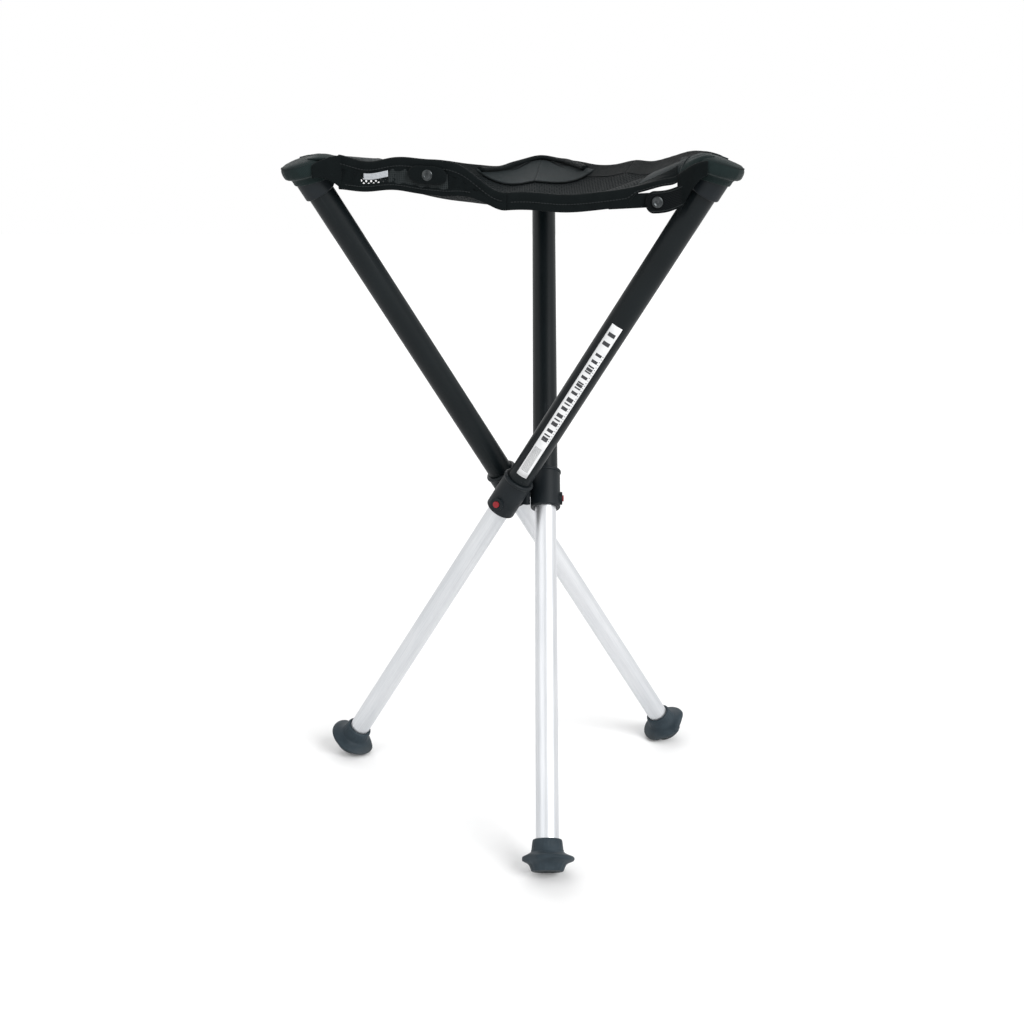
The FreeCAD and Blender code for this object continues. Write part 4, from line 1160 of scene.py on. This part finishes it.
def hood_cover(leg):
    """The seat's corner pocket: a domed cap whose plane rises outwards, with a cuff round the leg's end.

    Each row has a radius, a height from the slanted base, and the share of the slant it takes. Radii beyond
    the cuff stretch to the hood's own reach at each angle.
    """
    turn = hood_angle(leg)
    rows = np.array((
        (0.0, 16.6, 0.8), (6.0, 16.5, 0.8), (11.0, 16.1, 0.8), (15.5, 15.3, 0.8), (19.0, 14.0, 0.85),
        (21.0, 12.5, 0.9), (22.6, 10.6, 0.95), (23.7, 8.2, 1.0), (24.4, 5.8, 1.0), (24.5, 3.9, 1.0),
        (23.8, 2.3, 1.0), (21.8, 1.3, 1.0), (18.6, 0.8, 1.0), (17.0, -0.3, 1.0), (16.6, -1.6, 1.0),
        (16.7, -4.4, 1.0), (16.5, -5.3, 1.0), (16.1, -5.7, 1.0), (15.6, -5.4, 1.0), (15.5, -4.0, 0.9),
        (15.5, 3.5, 0.0), (0.0, 3.7, 0.0)))
    cuff = 16.0 * MM

    def shape(angles, radius):
        share = (radius - cuff) / (HOOD_RADIUS - cuff)
        return np.where(share > 0, cuff + share * (hood_reach(turn, angles) - cuff), radius)

    def ripple(angles, height):
        folds = 0.26 * np.sin(9 * angles + ord(leg)) + 0.18 * np.sin(17 * angles + 2.0 * ord(leg))
        return folds * smooth_step(height, 0.5, 3.0) * smooth_step(height, 14.5, 9.0)

    grid = turned(rows[:, :2], 96, shape, ripple)
    swell = 0.30 * MM * np.sin(grid[..., 0] * 210.0 + 0.4) * np.cos(grid[..., 1] * 180.0)
    inwards = grid[..., 0] * math.cos(turn) + grid[..., 1] * math.sin(turn)
    grid[..., 2] += HOOD_BASE - HOOD_SLANT * inwards * rows[:, 2:] + np.where(rows[:, 1:2] > 15.0, swell, 0.0)
    hood = surface("hood_cover_" + leg, on_leg(leg, grid), wrap_columns=True, closed=True)
    dress(hood, "hood_" + leg, COVER)
    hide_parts("corner_hood_" + leg)
    angles = np.linspace(0.0, 2 * math.pi, 52)
    ring = cuff + 0.50 * (hood_reach(turn, angles) - cuff)
    line = hood_points(leg, angles, ring, 12.9 * MM)
    stitches("hood_stitches_" + leg, line, leg_frame(leg)[1][:, 2], "hood_" + leg, length=0.0019)


def rubber_foot(leg):
    """The foot: a tapered collar, a wide rim with rounded edge, and a cone below it that meets the floor.

    The profile is turned about the leg's axis, with cosine ribs on the collar and a tread on the cone.
    """
    pivot, axes = leg_frame(leg)
    lean = math.acos(axes[2, 2])
    depth = (pivot[2] - FOOT_SOLE_RADIUS * math.sin(lean) + FOOT_CONTACT) / math.cos(lean)
    profile = (
        (0.0, 0.8), (8.0, 0.6), (12.4, 0.0), (14.2, 0.0), (14.8, 0.5), (15.2, 1.6), (16.0, 4.0), (17.2, 6.0),
        (19.2, 7.5), (21.8, 8.6), (24.0, 9.4), (25.0, 10.8), (24.9, 12.1), (24.0, 13.1), (22.2, 13.8),
        (19.2, 15.0), (16.9, 16.2), (15.6, 17.2), (15.2, 18.0), (15.3, 18.7), (14.8, 19.5), (14.4, 22.0),
        (14.0, 25.5), (13.7, 27.8), (13.2, 28.7), (12.4, 29.1), (11.4, 28.9), (10.95, 28.0), (10.95, 8.0),
        (0.0, 7.2))

    def ripple(angles, height):
        tread = 0.28 * np.cos(18 * angles) * bump(height, 4.0, 3.0)
        ribs = 0.22 * np.cos(24 * angles) * bump(height, 24.0, 3.2) * np.where(height > 19.5, 1.0, 0.0)
        return tread + ribs

    def shape(angles, radius):
        return soft_min(radius, flat_limit(math.pi, angles))

    grid = turned(profile, 108, shape, ripple)
    grid[..., 2] -= depth
    points = on_leg(leg, grid)
    points[..., 2] = np.maximum(points[..., 2], 0.0)
    foot = surface("rubber_foot_" + leg, points, wrap_columns=True, closed=True)
    dress(foot, "lower_leg_" + leg, RUBBER)
    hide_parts("foot_" + leg)


def sleeve_lip(leg):
    """The rolled lip round the top of the sleeve, where the upper tube enters."""
    profile = ((14.9, 16.6), (15.5, 17.0), (16.0, 17.9), (16.0, 19.2), (15.4, 20.1), (14.4, 20.5),
               (13.2, 20.3), (12.65, 19.9), (12.65, 19.0), (13.4, 18.2), (14.4, 17.2))
    lip = surface("sleeve_lip_" + leg, on_leg(leg, turned(profile, 64)), wrap_rows=True, wrap_columns=True,
                  closed=True)
    dress(lip, "leg_" + leg, BLACK_PLASTIC)


def label_film():
    """The blank printed strip, a thin film bent round part of the first leg's tube, just clear of it."""
    along = np.linspace(LABEL_LOW, LABEL_LOW + LABEL_LENGTH, 24)[:, None]
    turn = LABEL_TURN + np.linspace(0.0, LABEL_WIDTH / UPPER_TUBE_RADIUS, 14)[None, :]
    thick, clear = 0.00018, 0.00022
    radius = UPPER_TUBE_RADIUS + clear
    along, turn = np.broadcast_arrays(along, turn)
    grid = np.stack([radius * np.cos(turn), radius * np.sin(turn), along], -1)
    film = surface("label_film", on_leg("a", grid), thick=thick, offset=-1.0)
    dress(film, "leg_a", FILM)
    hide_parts("label_strip")


for leg in LEGS:
    hood_cover(leg)
    rubber_foot(leg)
    sleeve_lip(leg)
label_film()


# Floor, light and camera

def studio():
    """A plain pale floor, a white world, soft light from wide suns, and the photograph's camera."""
    floor_mesh = bpy.data.meshes.new("floor")
    half = 14.0
    corners = [(-half, -half, 0), (half, -half, 0), (half, half, 0), (-half, half, 0)]
    floor_mesh.from_pydata(corners, [], [(0, 1, 2, 3)])
    floor = bpy.data.objects.new("floor", floor_mesh)
    bpy.context.scene.collection.objects.link(floor)
    material, tree, shader = new_material("floor_paper", Roughness=0.95, Specular_IOR_Level=0.0)
    paper = noise(tree, object_vector(tree), 30.0, 2.0)
    colour(tree, shader, ramp(tree, paper, (0.93, 0.93, 0.93), (0.945, 0.945, 0.945)))
    floor_mesh.materials.append(material)

    world = bpy.data.worlds.new("studio")
    bpy.context.scene.world = world
    world.use_nodes = True
    tree = world.node_tree
    path = add_node(tree, "LightPath")
    seen = math_node(tree, "MAXIMUM", path.outputs["Is Camera Ray"], path.outputs["Is Glossy Ray"])
    seen = math_node(tree, "MAXIMUM", seen, path.outputs["Is Transmission Ray"])
    background = tree.nodes["Background"]
    background.inputs["Color"].default_value = (1.0, 1.0, 1.0, 1.0)
    tree.links.new(spread(tree, seen, 0.62, 1.0), background.inputs["Strength"])

    for name, place, width, power in (("key_sun", (1.2, -1.3, 1.0), 36.0, 2.4),
                                      ("fill_sun", (-1.4, -0.9, 1.1), 50.0, 0.4),
                                      ("back_sun", (-0.3, 1.5, 1.2), 50.0, 0.9)):
        light = bpy.data.lights.new(name, "SUN")
        light.energy = power
        light.angle = math.radians(width)
        lamp = bpy.data.objects.new(name, light)
        bpy.context.scene.collection.objects.link(lamp)
        lamp.location = place
        lamp.rotation_mode = "QUATERNION"
        lamp.rotation_quaternion = Vector(place).to_track_quat("Z", "Y")

    lens = bpy.data.cameras.new("camera")
    lens.sensor_width = SENSOR_MM
    lens.lens = SENSOR_MM * FOCAL_PIXELS / FRAME_PIXELS
    lens.clip_start = 0.05
    lens.clip_end = 60.0
    camera = bpy.data.objects.new("camera", lens)
    bpy.context.scene.collection.objects.link(camera)
    camera.location = (AXIS[0], AXIS[1] - CAMERA_BACK, CAMERA_HEIGHT)
    camera.rotation_euler = (math.pi / 2 - CAMERA_DOWN, 0.0, CAMERA_PAN)
    bpy.context.scene.camera = camera
    bpy.context.scene.view_settings.view_transform = "Standard"


studio()
